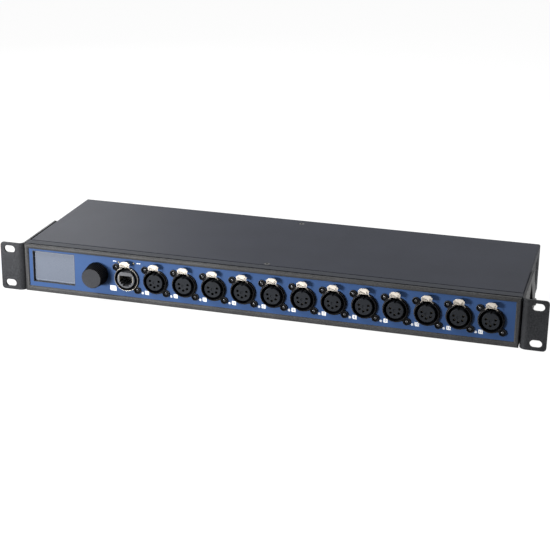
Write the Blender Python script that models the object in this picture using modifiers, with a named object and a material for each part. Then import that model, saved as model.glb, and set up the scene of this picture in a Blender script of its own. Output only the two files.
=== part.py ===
"""A one-unit rack DMX gateway: an encoder, a network socket and twelve locking sockets on its front.

Metres, +X to the right seen from the front, +Y to the back, +Z up.
The origin is the middle of the underside.
"""

import math

import bmesh
import bpy
from mathutils import Matrix, Vector

MM = 0.001

# Rack standard
RACK_WIDTH = 482.6 * MM
UNIT_HEIGHT = 43.7 * MM
EAR_REACH = 22.6 * MM
SLOT_INSET = 8.75 * MM
SLOT_SPACING = 31.75 * MM
SLOT_LENGTH = 10.6 * MM
SLOT_HEIGHT = 7.0 * MM

# Case
CASE_DEPTH = 142.0 * MM
SHEET = 1.5 * MM
GAP = 0.3 * MM
BEND_RADIUS = 1.6 * MM
FRONT_STRIP_DEPTH = 9.0 * MM
SKIRT_HEIGHT = 4.2 * MM
LEDGE_REACH = 12.0 * MM
COVER_SCREW_INSET = 4.2 * MM
COVER_SCREW_REAR_INSET = 9.0 * MM
COVER_SCREW_RADIUS = 2.6 * MM
COVER_SCREW_SHANK = 1.3 * MM
COVER_SCREW_DEPTH = 1.2 * MM
COVER_SCREW_RECESS = 1.1 * MM
COVER_SCREW_RECESS_DEPTH = 0.8 * MM

# Front: bezel frame round a recessed plate
BEZEL_SETBACK = 0.6 * MM
BEZEL_DEPTH = 3.1 * MM
BEZEL_ROUNDING = 1.6 * MM
BEZEL_FLARE = 0.7 * MM
BEZEL_SIDE = 4.4 * MM
BEZEL_TOP = 4.9 * MM
BEZEL_BOTTOM = 5.4 * MM
PLATE_RECESS = 1.7 * MM
PLATE_THICKNESS = 1.7 * MM
PLATE_LAP = 1.2 * MM

# Display: insets here and below run from the visible left edge of the front plate
DISPLAY_INSET = 23.0 * MM
DISPLAY_Z = 23.7 * MM
DISPLAY_WIDTH = 40.0 * MM
DISPLAY_HEIGHT = 29.0 * MM
DISPLAY_RECESS = 4.0 * MM
DISPLAY_WALL = 1.0 * MM
SCREEN_THICKNESS = 1.2 * MM
MODULE_DEPTH = 4.0 * MM

# Encoder and its knob
KNOB_INSET = 64.6 * MM
KNOB_Z = 23.6 * MM
KNOB_BASE_RADIUS = 10.6 * MM
KNOB_FRONT_RADIUS = 9.1 * MM
KNOB_LENGTH = 14.0 * MM
KNOB_LIFT = 0.8 * MM
KNOB_FLUTES = 26
KNOB_FLUTE_DEPTH = 0.45 * MM
KNOB_CAP = 3.5 * MM
SHAFT_RADIUS = 3.0 * MM
BUSHING_WALL = 0.75 * MM
SHAFT_CLEARANCE = 0.15 * MM
NUT_WALL = 2.3 * MM
NUT_HEIGHT = 2.2 * MM
NUT_CLEARANCE = 1.2 * MM
BUSHING_REACH = 3.4 * MM
ENCODER_BODY_SIZE = 13.0 * MM
ENCODER_BODY_DEPTH = 6.5 * MM
ROTOR_RADIUS = 5.0 * MM
ROTOR_DEPTH = 2.0 * MM

# Round sockets: all sizes are in the face frame, whose z runs out of the front plate
SOCKET_COUNT = 12
LAST_SOCKET_INSET = 18.98 * MM
SOCKET_Z = 21.8 * MM
ROUND_SIDES = 20
SMALL_SIDES = 10
CAVITY_RADIUS = 9.6 * MM
BARREL_WALL = 0.7 * MM
BARREL_DEPTH = 19.0 * MM
COLLAR_WALL = 0.8 * MM
COLLAR_HEIGHT = 2.9 * MM
FLANGE_RADIUS = 11.2 * MM
FLANGE_THICKNESS = 1.5 * MM
LOBE_OFFSET = 9.95 * MM
LOBE_RADIUS = 3.2 * MM
LOBE_NECK = 5.0 * MM
INSERT_RADIUS = 7.3 * MM
INSERT_HEIGHT = 3.2 * MM
INSERT_BASE = 3.5 * MM
INSERT_EDGE = 0.3 * MM
CONTACT_COUNT = 5
CONTACT_SPREAD = math.radians(60)
CONTACT_CIRCLE = 4.15 * MM
CONTACT_RADIUS = 0.9 * MM
CONTACT_DEPTH = 8.0 * MM
KEY_WIDTH = 1.6 * MM
KEY_DEPTH = 0.8 * MM

# Latch of a socket, a rocker on an axle just behind the plate
PIVOT_Y = 9.4 * MM
PIVOT_Z = -2.4 * MM
LEVER_WIDTH = 6.0 * MM
LEVER_THICKNESS = 1.0 * MM
LEVER_TAIL = 3.6 * MM
NOSE_HEIGHT = 0.9 * MM
NOSE_LENGTH = 1.4 * MM
PAD_WIDTH = 10.6 * MM
PAD_FOOT_WIDTH = 9.2 * MM
PAD_HEIGHT = 6.4 * MM
PAD_SHOULDER = 2.2 * MM
PAD_THICKNESS = 1.2 * MM
PAD_CORNER = 2.4 * MM
PAD_LEAN = math.radians(14)
PAD_FRONT = 6.6 * MM
NOTCH_MARGIN = 0.5 * MM
NOTCH_END = 1.4 * MM

# Network socket, in the same shell, a pitch before the first five-contact socket
KNOB_TO_NETWORK = 27.5 * MM
RING_WIDTH = 0.4 * MM
RING_HEIGHT = 0.5 * MM
JACK_RADIUS = 8.0 * MM
JACK_FLAT = 6.6 * MM
PORT_WIDTH = 11.8 * MM
PORT_TOP = 2.6 * MM
PORT_BOTTOM = -4.2 * MM
PORT_DEPTH = 14.0 * MM
PORT_STEPS = ((6.4 * MM, -5.6 * MM), (3.4 * MM, -6.8 * MM))

# Rack ears: reaches run back from the front, margins in from the leg's own edges
EAR_THICKNESS = 2.0 * MM
EAR_BEND_RADIUS = 4.0 * MM
EAR_BEND_STEPS = 5
EAR_CORNER = 3.0 * MM
EAR_TOP_REACH = 71.0 * MM
EAR_FOOT_REACH = 100.0 * MM
EAR_SLOPE_FOOT_Z = 14.7 * MM
CUTOUT_FRONT = 33.0 * MM
CUTOUT_BACK_MARGIN = 21.0 * MM
CUTOUT_LOW = 13.5 * MM
CUTOUT_TOP_MARGIN = 5.2 * MM
CUTOUT_APEX_MARGIN = 15.0 * MM
CUTOUT_CORNER = 2.5 * MM
EAR_SCREW_REACH = 13.0 * MM
EAR_SCREW_MARGIN = 10.0 * MM
EAR_FOOT_SCREW_MARGIN = 9.5 * MM
EAR_FOOT_SCREW_Z = 8.0 * MM
EAR_SCREW_RADIUS = 3.6 * MM
EAR_SCREW_TOP_RADIUS = 2.9 * MM
EAR_SCREW_HEIGHT = 2.2 * MM

# Side vents near the back
VENT_COUNT = 4
VENT_PITCH = 5.2 * MM
VENT_WIDTH = 3.0 * MM
VENT_LOW = 11.0 * MM
VENT_TOP_MARGIN = 3.5 * MM
VENT_BACK_MARGIN = 13.9 * MM

# Board and power supply
BOARD_THICKNESS = 1.6 * MM
BOARD_FRONT = 14.0 * MM
BOARD_BACK = 82.0 * MM
BOARD_MARGIN = 5.0 * MM
STANDOFF_RADIUS = 3.0 * MM
STANDOFF_INSET = 22.2 * MM
STANDOFF_DEPTH_INSET = 5.0 * MM
STANDOFFS_IN_ROW = 4
SUPPLY_WIDTH = 115.0 * MM
SUPPLY_DEPTH = 37.0 * MM
SUPPLY_HEIGHT = 32.0 * MM
SUPPLY_SIDE_MARGIN = 32.2 * MM
SUPPLY_CLEARANCE = 4.0 * MM

# Back: a mains inlet, and a network jack beside it
INLET_INSET = 48.7 * MM
INLET_Z = 21.0 * MM
INLET_MOUTH = (24.4 * MM, 16.6 * MM)
INLET_MOUTH_DEPTH = 16.0 * MM
INLET_WALL = 1.75 * MM
INLET_LAP = 2.0 * MM
INLET_FLOOR = 6.3 * MM
INLET_FLANGE_THICKNESS = 2.0 * MM
BLADE_WIDTH = 2.0 * MM
BLADE_HEIGHT = 4.0 * MM
BLADE_SPACING = 7.0 * MM
BLADE_RISE = 2.0 * MM
BLADE_LENGTH = 11.0 * MM
REAR_JACK_SPACING = 75.0 * MM
REAR_JACK_FLANGE = (26.0 * MM, 31.0 * MM)
REAR_JACK_FLANGE_THICKNESS = 2.0 * MM
REAR_JACK_CORNER = 3.0 * MM
REAR_JACK_RADIUS = 11.6 * MM
REAR_JACK_DEPTH = 18.0 * MM

# Planes and places worked out from the sizes above
FRONT = -CASE_DEPTH / 2
BACK = CASE_DEPTH / 2
HALF_CASE = RACK_WIDTH / 2 - EAR_REACH
FACE_Y = FRONT + PLATE_RECESS
PLATE_BACK_Y = FACE_Y + PLATE_THICKNESS
PLATE_HALF_WIDTH = HALF_CASE - BEZEL_SIDE
PLATE_HALF_HEIGHT = (UNIT_HEIGHT - BEZEL_TOP - BEZEL_BOTTOM) / 2
PLATE_MIDDLE_Z = BEZEL_BOTTOM + PLATE_HALF_HEIGHT
TRAY_FRONT = FRONT + BEZEL_SETBACK + BEZEL_DEPTH + GAP
COVER_FRONT = TRAY_FRONT + FRONT_STRIP_DEPTH + GAP
SKIRT_Z = UNIT_HEIGHT - SKIRT_HEIGHT
LEDGE_TOP = UNIT_HEIGHT - SHEET - GAP
DISPLAY_X = DISPLAY_INSET - PLATE_HALF_WIDTH
KNOB_X = KNOB_INSET - PLATE_HALF_WIDTH
NETWORK_X = KNOB_X + KNOB_TO_NETWORK
SOCKET_PITCH = (PLATE_HALF_WIDTH - LAST_SOCKET_INSET - NETWORK_X) / SOCKET_COUNT
BARREL_RADIUS = CAVITY_RADIUS + BARREL_WALL
COLLAR_RADIUS = CAVITY_RADIUS + COLLAR_WALL
BORE_RADIUS = SHAFT_RADIUS + SHAFT_CLEARANCE
BUSHING_RADIUS = BORE_RADIUS + BUSHING_WALL
NUT_RADIUS = BUSHING_RADIUS + NUT_WALL
BOARD_TOP = SOCKET_Z - BARREL_RADIUS - GAP
BOARD_LOW = BOARD_TOP - BOARD_THICKNESS
BOARD_HALF_WIDTH = HALF_CASE - SHEET - BOARD_MARGIN
EAR_LEG_X = HALF_CASE + GAP
INLET_X = INLET_INSET - HALF_CASE
INLET_BODY = (INLET_MOUTH[0] + 2 * INLET_WALL, INLET_MOUTH[1] + 2 * INLET_WALL)
REAR_JACK_X = INLET_X + REAR_JACK_SPACING
BEYOND = 10 * MM

FACE_TURN = (math.radians(90), 0, 0)
REAR_TURN = (math.radians(90), 0, math.radians(180))
COLLECTION = "dmx_gateway"


def clear_scene():
    for obj in list(bpy.data.objects):
        bpy.data.objects.remove(obj)
    bpy.context.scene.collection.children.link(bpy.data.collections.new(COLLECTION))


def material(name, colour, roughness, metallic=0.0):
    shade = bpy.data.materials.new(name)
    shade.use_nodes = True
    shader = shade.node_tree.nodes["Principled BSDF"]
    shader.inputs["Base Color"].default_value = (*colour, 1.0)
    shader.inputs["Roughness"].default_value = roughness
    shader.inputs["Metallic"].default_value = metallic
    return shade


def shape(form):
    """An object, at the origin, made from a bmesh."""
    bmesh.ops.recalc_face_normals(form, faces=form.faces)
    mesh = bpy.data.meshes.new("shape")
    form.to_mesh(mesh)
    form.free()
    obj = bpy.data.objects.new("shape", mesh)
    bpy.data.collections[COLLECTION].objects.link(obj)
    return obj


def box(low, high, rounded=(), radius=0.0, segments=3):
    """A block between two corners. rounded picks edges by the two sides they join, such as ("+X", "+Z")."""
    low = Vector(low)
    high = Vector(high)
    form = bmesh.new()
    place = Matrix.Translation((low + high) / 2) @ Matrix.Diagonal((*(high - low), 1))
    bmesh.ops.create_cube(form, size=1, matrix=place)
    sides = {"X": 0, "Y": 1, "Z": 2}

    def on_side(edge, side):
        axis = sides[side[1]]
        value = high[axis] if side[0] == "+" else low[axis]
        return all(abs(vert.co[axis] - value) < 1e-7 for vert in edge.verts)

    chosen = [edge for edge in form.edges if any(on_side(edge, a) and on_side(edge, b) for a, b in rounded)]
    if chosen:
        round_off(form, chosen, radius, "EDGES", segments)
    return shape(form)


def round_off(form, chosen, radius, affect, segments=3):
    bmesh.ops.bevel(form, geom=chosen, offset=radius, segments=segments, affect=affect, profile=0.5)


def centred_box(size, low, high):
    """A block centred on the Z axis."""
    return box((-size[0] / 2, -size[1] / 2, low), (size[0] / 2, size[1] / 2, high))


def rod(radius, low, high, x=0.0, y=0.0, sides=ROUND_SIDES, far_radius=None):
    """A round rod along Z, or a cone when far_radius differs."""
    form = bmesh.new()
    bmesh.ops.create_cone(
        form,
        cap_ends=True,
        segments=sides,
        radius1=radius,
        radius2=radius if far_radius is None else far_radius,
        depth=high - low,
        matrix=Matrix.Translation((x, y, (low + high) / 2)) @ Matrix.Rotation(math.pi / sides, 4, "Z"),
    )
    return shape(form)


def plate(outline, low, high, corner=0.0):
    """A flat outline in XY, its corners rounded, given a thickness along Z."""
    form = bmesh.new()
    form.faces.new([form.verts.new((x, y, low)) for x, y in outline])
    if corner:
        round_off(form, form.verts[:], corner, "VERTICES")
    grown = bmesh.ops.extrude_face_region(form, geom=form.faces[:])["geom"]
    rising = [item for item in grown if isinstance(item, bmesh.types.BMVert)]
    bmesh.ops.translate(form, verts=rising, vec=(0, 0, high - low))
    return shape(form)


def bake(obj):
    """Applies the modifiers, so that copies can share the mesh."""
    graph = bpy.context.evaluated_depsgraph_get()
    mesh = bpy.data.meshes.new_from_object(obj.evaluated_get(graph))
    obj.modifiers.clear()
    obj.data = mesh


def carve(obj, operation, helpers):
    """Joins the helpers to the object, or cuts them from it, and removes them."""
    for helper in helpers:
        modifier = obj.modifiers.new(operation, "BOOLEAN")
        modifier.operation = operation
        modifier.object = helper
    bake(obj)
    for helper in helpers:
        bpy.data.objects.remove(helper)
    return obj


def join(obj, *helpers):
    return carve(obj, "UNION", helpers)


def cut(obj, *helpers):
    return carve(obj, "DIFFERENCE", helpers)


def finish(obj, name, shade, smooth=False):
    obj.name = name
    obj.data.name = name
    obj.data.materials.clear()
    obj.data.materials.append(shade)
    if smooth:
        obj.data.shade_smooth()
        obj.data.set_sharp_from_angle(angle=math.radians(35))
    return obj


def turn_to(obj, turn, location):
    """Bakes a turn and a move into the mesh, for helpers made in the face frame."""
    place = Matrix.Translation(location) @ Matrix.Rotation(turn[2], 4, "Z") @ Matrix.Rotation(turn[0], 4, "X")
    obj.data.transform(place)
    return obj


def put_on_face(obj, x, z):
    obj.rotation_euler = FACE_TURN
    obj.location = (x, FACE_Y, z)


def copy_of(obj, name):
    twin = bpy.data.objects.new(name, obj.data)
    bpy.data.collections[COLLECTION].objects.link(twin)
    return twin


def socket_places():
    return [NETWORK_X + index * SOCKET_PITCH for index in range(1, SOCKET_COUNT + 1)]


def cover_screw_places():
    return (COVER_FRONT + COVER_SCREW_INSET, BACK - COVER_SCREW_REAR_INSET)


def leg_cutout():
    """The three-cornered cut-out of an ear's leg."""
    apex = (FRONT + EAR_TOP_REACH - CUTOUT_APEX_MARGIN, UNIT_HEIGHT - CUTOUT_TOP_MARGIN)
    front_foot = (FRONT + CUTOUT_FRONT, CUTOUT_LOW)
    back_foot = (FRONT + EAR_FOOT_REACH - CUTOUT_BACK_MARGIN, CUTOUT_LOW)
    cutter = plate([front_foot, back_foot, apex], HALF_CASE - BEYOND, HALF_CASE + BEYOND, CUTOUT_CORNER)
    # The plate's XY outline becomes YZ, and its thickness runs along X.
    cutter.data.transform(Matrix(((0, 0, 1, 0), (1, 0, 0, 0), (0, 1, 0, 0), (0, 0, 0, 1))))
    return cutter


def side_vents(sign):
    cutters = []
    ends = sorted((sign * (HALF_CASE - BEYOND), sign * (HALF_CASE + BEYOND)))
    for index in range(VENT_COUNT):
        middle = BACK - VENT_BACK_MARGIN - index * VENT_PITCH
        low = (ends[0], middle - VENT_WIDTH / 2, VENT_LOW)
        high = (ends[1], middle + VENT_WIDTH / 2, SKIRT_Z - VENT_TOP_MARGIN)
        cutters.append(box(low, high))
    return cutters


def rear_opening(x, z, size):
    hole = centred_box(Vector(size) + Vector((2, 2)) * GAP, -BEYOND, BEYOND)
    return turn_to(hole, REAR_TURN, (x, BACK, z))


def make_tray(shade):
    """Folded bottom, sides, back and front strip, with the ledges that the cover is screwed to."""
    tray = box(
        (-HALF_CASE, TRAY_FRONT, 0),
        (HALF_CASE, BACK, UNIT_HEIGHT),
        rounded=(("-X", "-Z"), ("+X", "-Z")),
        radius=BEND_RADIUS,
    )
    inner = HALF_CASE - SHEET
    hollow = box((-inner, TRAY_FRONT + SHEET, SHEET), (inner, BACK - SHEET, UNIT_HEIGHT - SHEET))
    under_cover = box(
        (-HALF_CASE - BEYOND, COVER_FRONT - GAP, SKIRT_Z - GAP),
        (HALF_CASE + BEYOND, BACK + BEYOND, UNIT_HEIGHT + BEYOND),
    )
    rim_x = PLATE_HALF_WIDTH + PLATE_LAP / 2
    rim_z = PLATE_HALF_HEIGHT + PLATE_LAP / 2
    mouth = box(
        (-rim_x, TRAY_FRONT - BEYOND, PLATE_MIDDLE_Z - rim_z),
        (rim_x, TRAY_FRONT + SHEET + GAP, PLATE_MIDDLE_Z + rim_z),
    )
    cut(tray, hollow, under_cover, mouth)
    half = inner - GAP
    behind_strip = TRAY_FRONT + SHEET / 2
    low = LEDGE_TOP - SHEET
    rear_wall_top = box((-half, BACK - SHEET, SKIRT_Z - BEYOND), (half, BACK, LEDGE_TOP))
    front_ledge = box((-half, behind_strip, low), (half, COVER_FRONT + LEDGE_REACH, LEDGE_TOP))
    front_step = box((-half, behind_strip, low), (half, COVER_FRONT - GAP, UNIT_HEIGHT - SHEET / 2))
    rear_ledge = box((-half, BACK - LEDGE_REACH, low), (half, BACK - SHEET / 2, LEDGE_TOP))
    join(tray, rear_wall_top, front_ledge, front_step, rear_ledge, *standoffs())
    openings = [rear_opening(INLET_X, INLET_Z, INLET_BODY), rear_jack_hole()]
    for sign in (-1, 1):
        openings.extend(side_vents(sign))
    cut(tray, *openings)
    cut(tray, *[screw_socket(y) for y in cover_screw_places()])
    return finish(tray, "chassis_tray", shade)


def standoffs():
    """Posts pressed into the bottom, in two rows under the board's long edges."""
    reach = BOARD_HALF_WIDTH - STANDOFF_INSET
    spacing = 2 * reach / (STANDOFFS_IN_ROW - 1)
    top = BOARD_LOW - GAP
    posts = []
    for y in (FRONT + BOARD_FRONT + STANDOFF_DEPTH_INSET, FRONT + BOARD_BACK - STANDOFF_DEPTH_INSET):
        for index in range(STANDOFFS_IN_ROW):
            posts.append(rod(STANDOFF_RADIUS, SHEET / 2, top, index * spacing - reach, y, SMALL_SIDES))
    return posts


def rear_jack_hole():
    hole = rod(REAR_JACK_RADIUS + GAP, -BEYOND, BEYOND)
    return turn_to(hole, REAR_TURN, (REAR_JACK_X, BACK, SOCKET_Z))


def screw_socket(y):
    """The threaded hole in a ledge, cut straight through."""
    return rod(COVER_SCREW_SHANK + GAP, LEDGE_TOP - 2 * SHEET, UNIT_HEIGHT, 0, y, sides=SMALL_SIDES)


def make_cover(shade):
    """Lid with short side skirts, its long bends rounded."""
    cover = box(
        (-HALF_CASE, COVER_FRONT, SKIRT_Z),
        (HALF_CASE, BACK, UNIT_HEIGHT),
        rounded=(("-X", "+Z"), ("+X", "+Z")),
        radius=BEND_RADIUS,
    )
    inner = HALF_CASE - SHEET
    roof = UNIT_HEIGHT - SHEET
    hollow = box((-inner, COVER_FRONT - BEYOND, SKIRT_Z - BEYOND), (inner, BACK + BEYOND, roof))
    sink_low = COVER_SCREW_SHANK + GAP
    sink_top = COVER_SCREW_RADIUS + 2 * GAP
    sinks = [
        rod(sink_low, roof - GAP, UNIT_HEIGHT + GAP, 0, y, far_radius=sink_top)
        for y in cover_screw_places()
    ]
    cut(cover, hollow, *sinks)
    return finish(cover, "top_cover", shade)


def make_cover_screws(shade):
    """Countersunk screws that hold the lid to the tray's two ledges."""
    for name, y in zip(("cover_screw_front", "cover_screw_rear"), cover_screw_places()):
        head_low = UNIT_HEIGHT - COVER_SCREW_DEPTH
        screw = rod(COVER_SCREW_SHANK, head_low, UNIT_HEIGHT - GAP / 2, far_radius=COVER_SCREW_RADIUS)
        join(screw, rod(COVER_SCREW_SHANK - GAP, LEDGE_TOP - SHEET, head_low + GAP, sides=SMALL_SIDES))
        cut(screw, rod(COVER_SCREW_RECESS, UNIT_HEIGHT - COVER_SCREW_RECESS_DEPTH, UNIT_HEIGHT, sides=6))
        screw.location = (0, y, 0)
        finish(screw, name, shade, smooth=True)


def make_bezel(shade):
    """Frame round the front plate: rounded outside, flared inside, rebated at the back for the plate."""
    front = FRONT + BEZEL_SETBACK
    bezel = box(
        (-HALF_CASE, front, 0),
        (HALF_CASE, front + BEZEL_DEPTH, UNIT_HEIGHT),
        rounded=(("-Y", "-X"), ("-Y", "+X"), ("-Y", "-Z"), ("-Y", "+Z")),
        radius=BEZEL_ROUNDING,
    )
    behind = front + BEZEL_DEPTH + BEYOND
    half = Vector((PLATE_HALF_WIDTH, PLATE_HALF_HEIGHT))
    mouth = box(
        (-half.x, front - BEYOND, PLATE_MIDDLE_Z - half.y),
        (half.x, behind, PLATE_MIDDLE_Z + half.y),
    )
    rebate = half + Vector((1, 1)) * (PLATE_LAP + GAP)
    pocket = box(
        (-rebate.x, FACE_Y - GAP, PLATE_MIDDLE_Z - rebate.y),
        (rebate.x, behind, PLATE_MIDDLE_Z + rebate.y),
    )
    flare = centred_box(2 * half, -BEZEL_FLARE, BEZEL_FLARE)
    for vert in flare.data.vertices:
        if vert.co.z > 0:
            vert.co.x += math.copysign(2 * BEZEL_FLARE, vert.co.x)
            vert.co.y += math.copysign(2 * BEZEL_FLARE, vert.co.y)
    turn_to(flare, FACE_TURN, (0, front, PLATE_MIDDLE_Z))
    cut(bezel, mouth, pocket, flare)
    return finish(bezel, "front_bezel", shade)


def make_front_plate(shade):
    """Coloured plate that carries the display, the encoder and the sockets."""
    half = Vector((PLATE_HALF_WIDTH + PLATE_LAP, PLATE_HALF_HEIGHT + PLATE_LAP))
    panel = box((-half.x, FACE_Y, PLATE_MIDDLE_Z - half.y), (half.x, PLATE_BACK_Y, PLATE_MIDDLE_Z + half.y))
    window = centred_box((DISPLAY_WIDTH, DISPLAY_HEIGHT), -BEYOND, BEYOND)
    cutters = [turn_to(window, FACE_TURN, (DISPLAY_X, FACE_Y, DISPLAY_Z))]
    shaft_hole = rod(BUSHING_RADIUS + GAP, -BEYOND, BEYOND)
    cutters.append(turn_to(shaft_hole, FACE_TURN, (KNOB_X, FACE_Y, KNOB_Z)))
    for x in [NETWORK_X, *socket_places()]:
        hole = rod(BARREL_RADIUS + GAP, -BEYOND, BEYOND)
        cutters.append(turn_to(hole, FACE_TURN, (x, FACE_Y, SOCKET_Z)))
    cut(panel, *cutters)
    return finish(panel, "front_panel", shade)


def make_ear(name, sign, shade):
    """Sheet bent at a right angle: a slotted flange in front, and a leg along the case with its cut-out."""
    form = bmesh.new()
    bend_reach = EAR_BEND_RADIUS + EAR_THICKNESS
    bend_middle = Vector((EAR_LEG_X + bend_reach, FRONT + bend_reach))
    line = [Vector((RACK_WIDTH / 2, FRONT))]
    for index in range(EAR_BEND_STEPS + 1):
        angle = -math.pi / 2 - index * math.pi / 2 / EAR_BEND_STEPS
        line.append(bend_middle + bend_reach * Vector((math.cos(angle), math.sin(angle))))
    line.append(Vector((EAR_LEG_X, FRONT + EAR_FOOT_REACH)))
    verts = [form.verts.new((point.x, point.y, 0)) for point in line]
    edges = [form.edges.new(pair) for pair in zip(verts, verts[1:])]
    grown = bmesh.ops.extrude_edge_only(form, edges=edges)["geom"]
    risen = [item for item in grown if isinstance(item, bmesh.types.BMVert)]
    bmesh.ops.translate(form, verts=risen, vec=(0, 0, UNIT_HEIGHT))
    slope_top = Vector((0, FRONT + EAR_TOP_REACH, UNIT_HEIGHT))
    slope_foot = Vector((0, FRONT + EAR_FOOT_REACH, EAR_SLOPE_FOOT_Z))
    along = slope_foot - slope_top
    bmesh.ops.bisect_plane(
        form,
        geom=form.verts[:] + form.edges[:] + form.faces[:],
        plane_co=slope_top,
        plane_no=(0, -along.z, along.y),
        clear_outer=True,
    )
    corners = [vert for vert in form.verts if vert.co.x > RACK_WIDTH / 2 - GAP]
    round_off(form, corners, EAR_CORNER, "VERTICES")
    ear = shape(form)
    if sum(face.normal.y for face in ear.data.polygons if face.center.x > bend_middle.x) > 0:
        ear.data.flip_normals()
    sheet = ear.modifiers.new("sheet", "SOLIDIFY")
    sheet.thickness = EAR_THICKNESS
    sheet.offset = -1
    bake(ear)
    cut(ear, leg_cutout(), rack_slot(-SLOT_SPACING / 2), rack_slot(SLOT_SPACING / 2))
    join(ear, *ear_screw_heads())
    if sign < 0:
        ear.data.transform(Matrix.Scale(-1, 4, (1, 0, 0)))
        ear.data.flip_normals()
    return finish(ear, name, shade, smooth=True)


def rack_slot(rise):
    """Slot with round ends in an ear's flange, above or below the unit's mid height."""
    straight = SLOT_LENGTH - SLOT_HEIGHT
    slot = centred_box((straight, SLOT_HEIGHT), -BEYOND, BEYOND)
    ends = [rod(SLOT_HEIGHT / 2, -BEYOND, BEYOND, side * straight / 2, sides=SMALL_SIDES) for side in (-1, 1)]
    place = (RACK_WIDTH / 2 - SLOT_INSET, FRONT, UNIT_HEIGHT / 2 + rise)
    return turn_to(join(slot, *ends), FACE_TURN, place)


def ear_screw_heads():
    """Round heads of the three screws that hold an ear's leg to the case."""
    heads = []
    for y, z in (
        (FRONT + EAR_SCREW_REACH, EAR_SCREW_MARGIN),
        (FRONT + EAR_SCREW_REACH, UNIT_HEIGHT - EAR_SCREW_MARGIN),
        (FRONT + EAR_FOOT_REACH - EAR_FOOT_SCREW_MARGIN, EAR_FOOT_SCREW_Z),
    ):
        head = rod(EAR_SCREW_RADIUS, -GAP, EAR_SCREW_HEIGHT, far_radius=EAR_SCREW_TOP_RADIUS)
        head.data.transform(Matrix.Rotation(math.pi / 2, 4, "Y"))
        head.data.transform(Matrix.Translation((EAR_LEG_X + EAR_THICKNESS, y, z)))
        heads.append(head)
    return heads


def make_display(frame_shade, screen_shade, module_shade):
    """Black surround behind the plate, the screen in it, and the module that drives it."""
    opening = Vector((DISPLAY_WIDTH, DISPLAY_HEIGHT))
    outer = opening + Vector((2, 2)) * DISPLAY_WALL
    front = -PLATE_THICKNESS - GAP
    back = -DISPLAY_RECESS - SCREEN_THICKNESS
    frame = cut(centred_box(outer, back, front), centred_box(opening, -BEYOND, BEYOND))
    put_on_face(finish(frame, "display_frame", frame_shade), DISPLAY_X, DISPLAY_Z)

    screen = centred_box(opening - Vector((2, 2)) * GAP, back, -DISPLAY_RECESS)
    put_on_face(finish(screen, "display_screen", screen_shade), DISPLAY_X, DISPLAY_Z)

    module = centred_box(outer, back - GAP - MODULE_DEPTH, back - GAP)
    put_on_face(finish(module, "display_module", module_shade), DISPLAY_X, DISPLAY_Z)


def make_encoder(body_shade, rotor_shade, shaft_shade, knob_shade):
    """Encoder behind the plate, its nut in front, the shaft that turns and pushes in, and the fluted knob."""
    back = -PLATE_THICKNESS - GAP
    body = centred_box((ENCODER_BODY_SIZE, ENCODER_BODY_SIZE), back - ENCODER_BODY_DEPTH, back)
    bushing = rod(BUSHING_RADIUS, back - GAP, BUSHING_REACH)
    nut = rod(NUT_RADIUS, GAP, GAP + NUT_HEIGHT, sides=6)
    cut(join(body, bushing, nut), rod(BORE_RADIUS, back - ENCODER_BODY_DEPTH - BEYOND, BEYOND))
    put_on_face(finish(body, "encoder_body", body_shade, smooth=True), KNOB_X, KNOB_Z)

    rotor_front = back - ENCODER_BODY_DEPTH - GAP
    rotor = rod(ROTOR_RADIUS, rotor_front - ROTOR_DEPTH, rotor_front)
    cut(rotor, rod(BORE_RADIUS, rotor_front - BEYOND, BEYOND))
    put_on_face(finish(rotor, "encoder_rotor", rotor_shade, smooth=True), KNOB_X, KNOB_Z)

    front = KNOB_LIFT + KNOB_LENGTH
    shaft_front = front - KNOB_CAP
    shaft = rod(SHAFT_RADIUS, rotor_front - ROTOR_DEPTH - GAP, shaft_front)
    put_on_face(finish(shaft, "encoder_shaft", shaft_shade, smooth=True), KNOB_X, KNOB_Z)

    form = bmesh.new()
    bmesh.ops.create_cone(
        form,
        cap_ends=True,
        segments=2 * KNOB_FLUTES,
        radius1=KNOB_BASE_RADIUS,
        radius2=KNOB_FRONT_RADIUS,
        depth=KNOB_LENGTH,
        matrix=Matrix.Translation((0, 0, (KNOB_LIFT + front) / 2)),
    )
    step = math.pi / KNOB_FLUTES
    for vert in form.verts:
        along = vert.co.xy.length
        if round(math.atan2(vert.co.y, vert.co.x) / step) % 2:
            vert.co.xy *= (along - KNOB_FLUTE_DEPTH) / along
    knob = shape(form)
    nut_space = rod(NUT_RADIUS + NUT_CLEARANCE, -BEYOND, BUSHING_REACH + NUT_CLEARANCE)
    cut(knob, nut_space, rod(BORE_RADIUS, 0, shaft_front + GAP))
    put_on_face(finish(knob, "encoder_knob", knob_shade, smooth=True), KNOB_X, KNOB_Z)


def make_shell():
    """Black socket shell: flange with two screw lobes, raised collar, barrel, and the latch's notch."""
    shell = rod(FLANGE_RADIUS, GAP, FLANGE_THICKNESS)
    pieces = [
        rod(BARREL_RADIUS, -BARREL_DEPTH, FLANGE_THICKNESS / 2),
        rod(COLLAR_RADIUS, FLANGE_THICKNESS / 2, COLLAR_HEIGHT),
    ]
    for side in (-1, 1):
        x, y = side * LOBE_OFFSET, -side * LOBE_OFFSET
        pieces.append(rod(LOBE_RADIUS, GAP, FLANGE_THICKNESS, x, y, sides=SMALL_SIDES))
        neck = box((0, -LOBE_NECK / 2, GAP), (Vector((x, y)).length, LOBE_NECK / 2, FLANGE_THICKNESS))
        neck.data.transform(Matrix.Rotation(math.atan2(y, x), 4, "Z"))
        pieces.append(neck)
    join(shell, *pieces)
    return cut(shell, rod(CAVITY_RADIUS, -BARREL_DEPTH - BEYOND, BEYOND), latch_notch())


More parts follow.
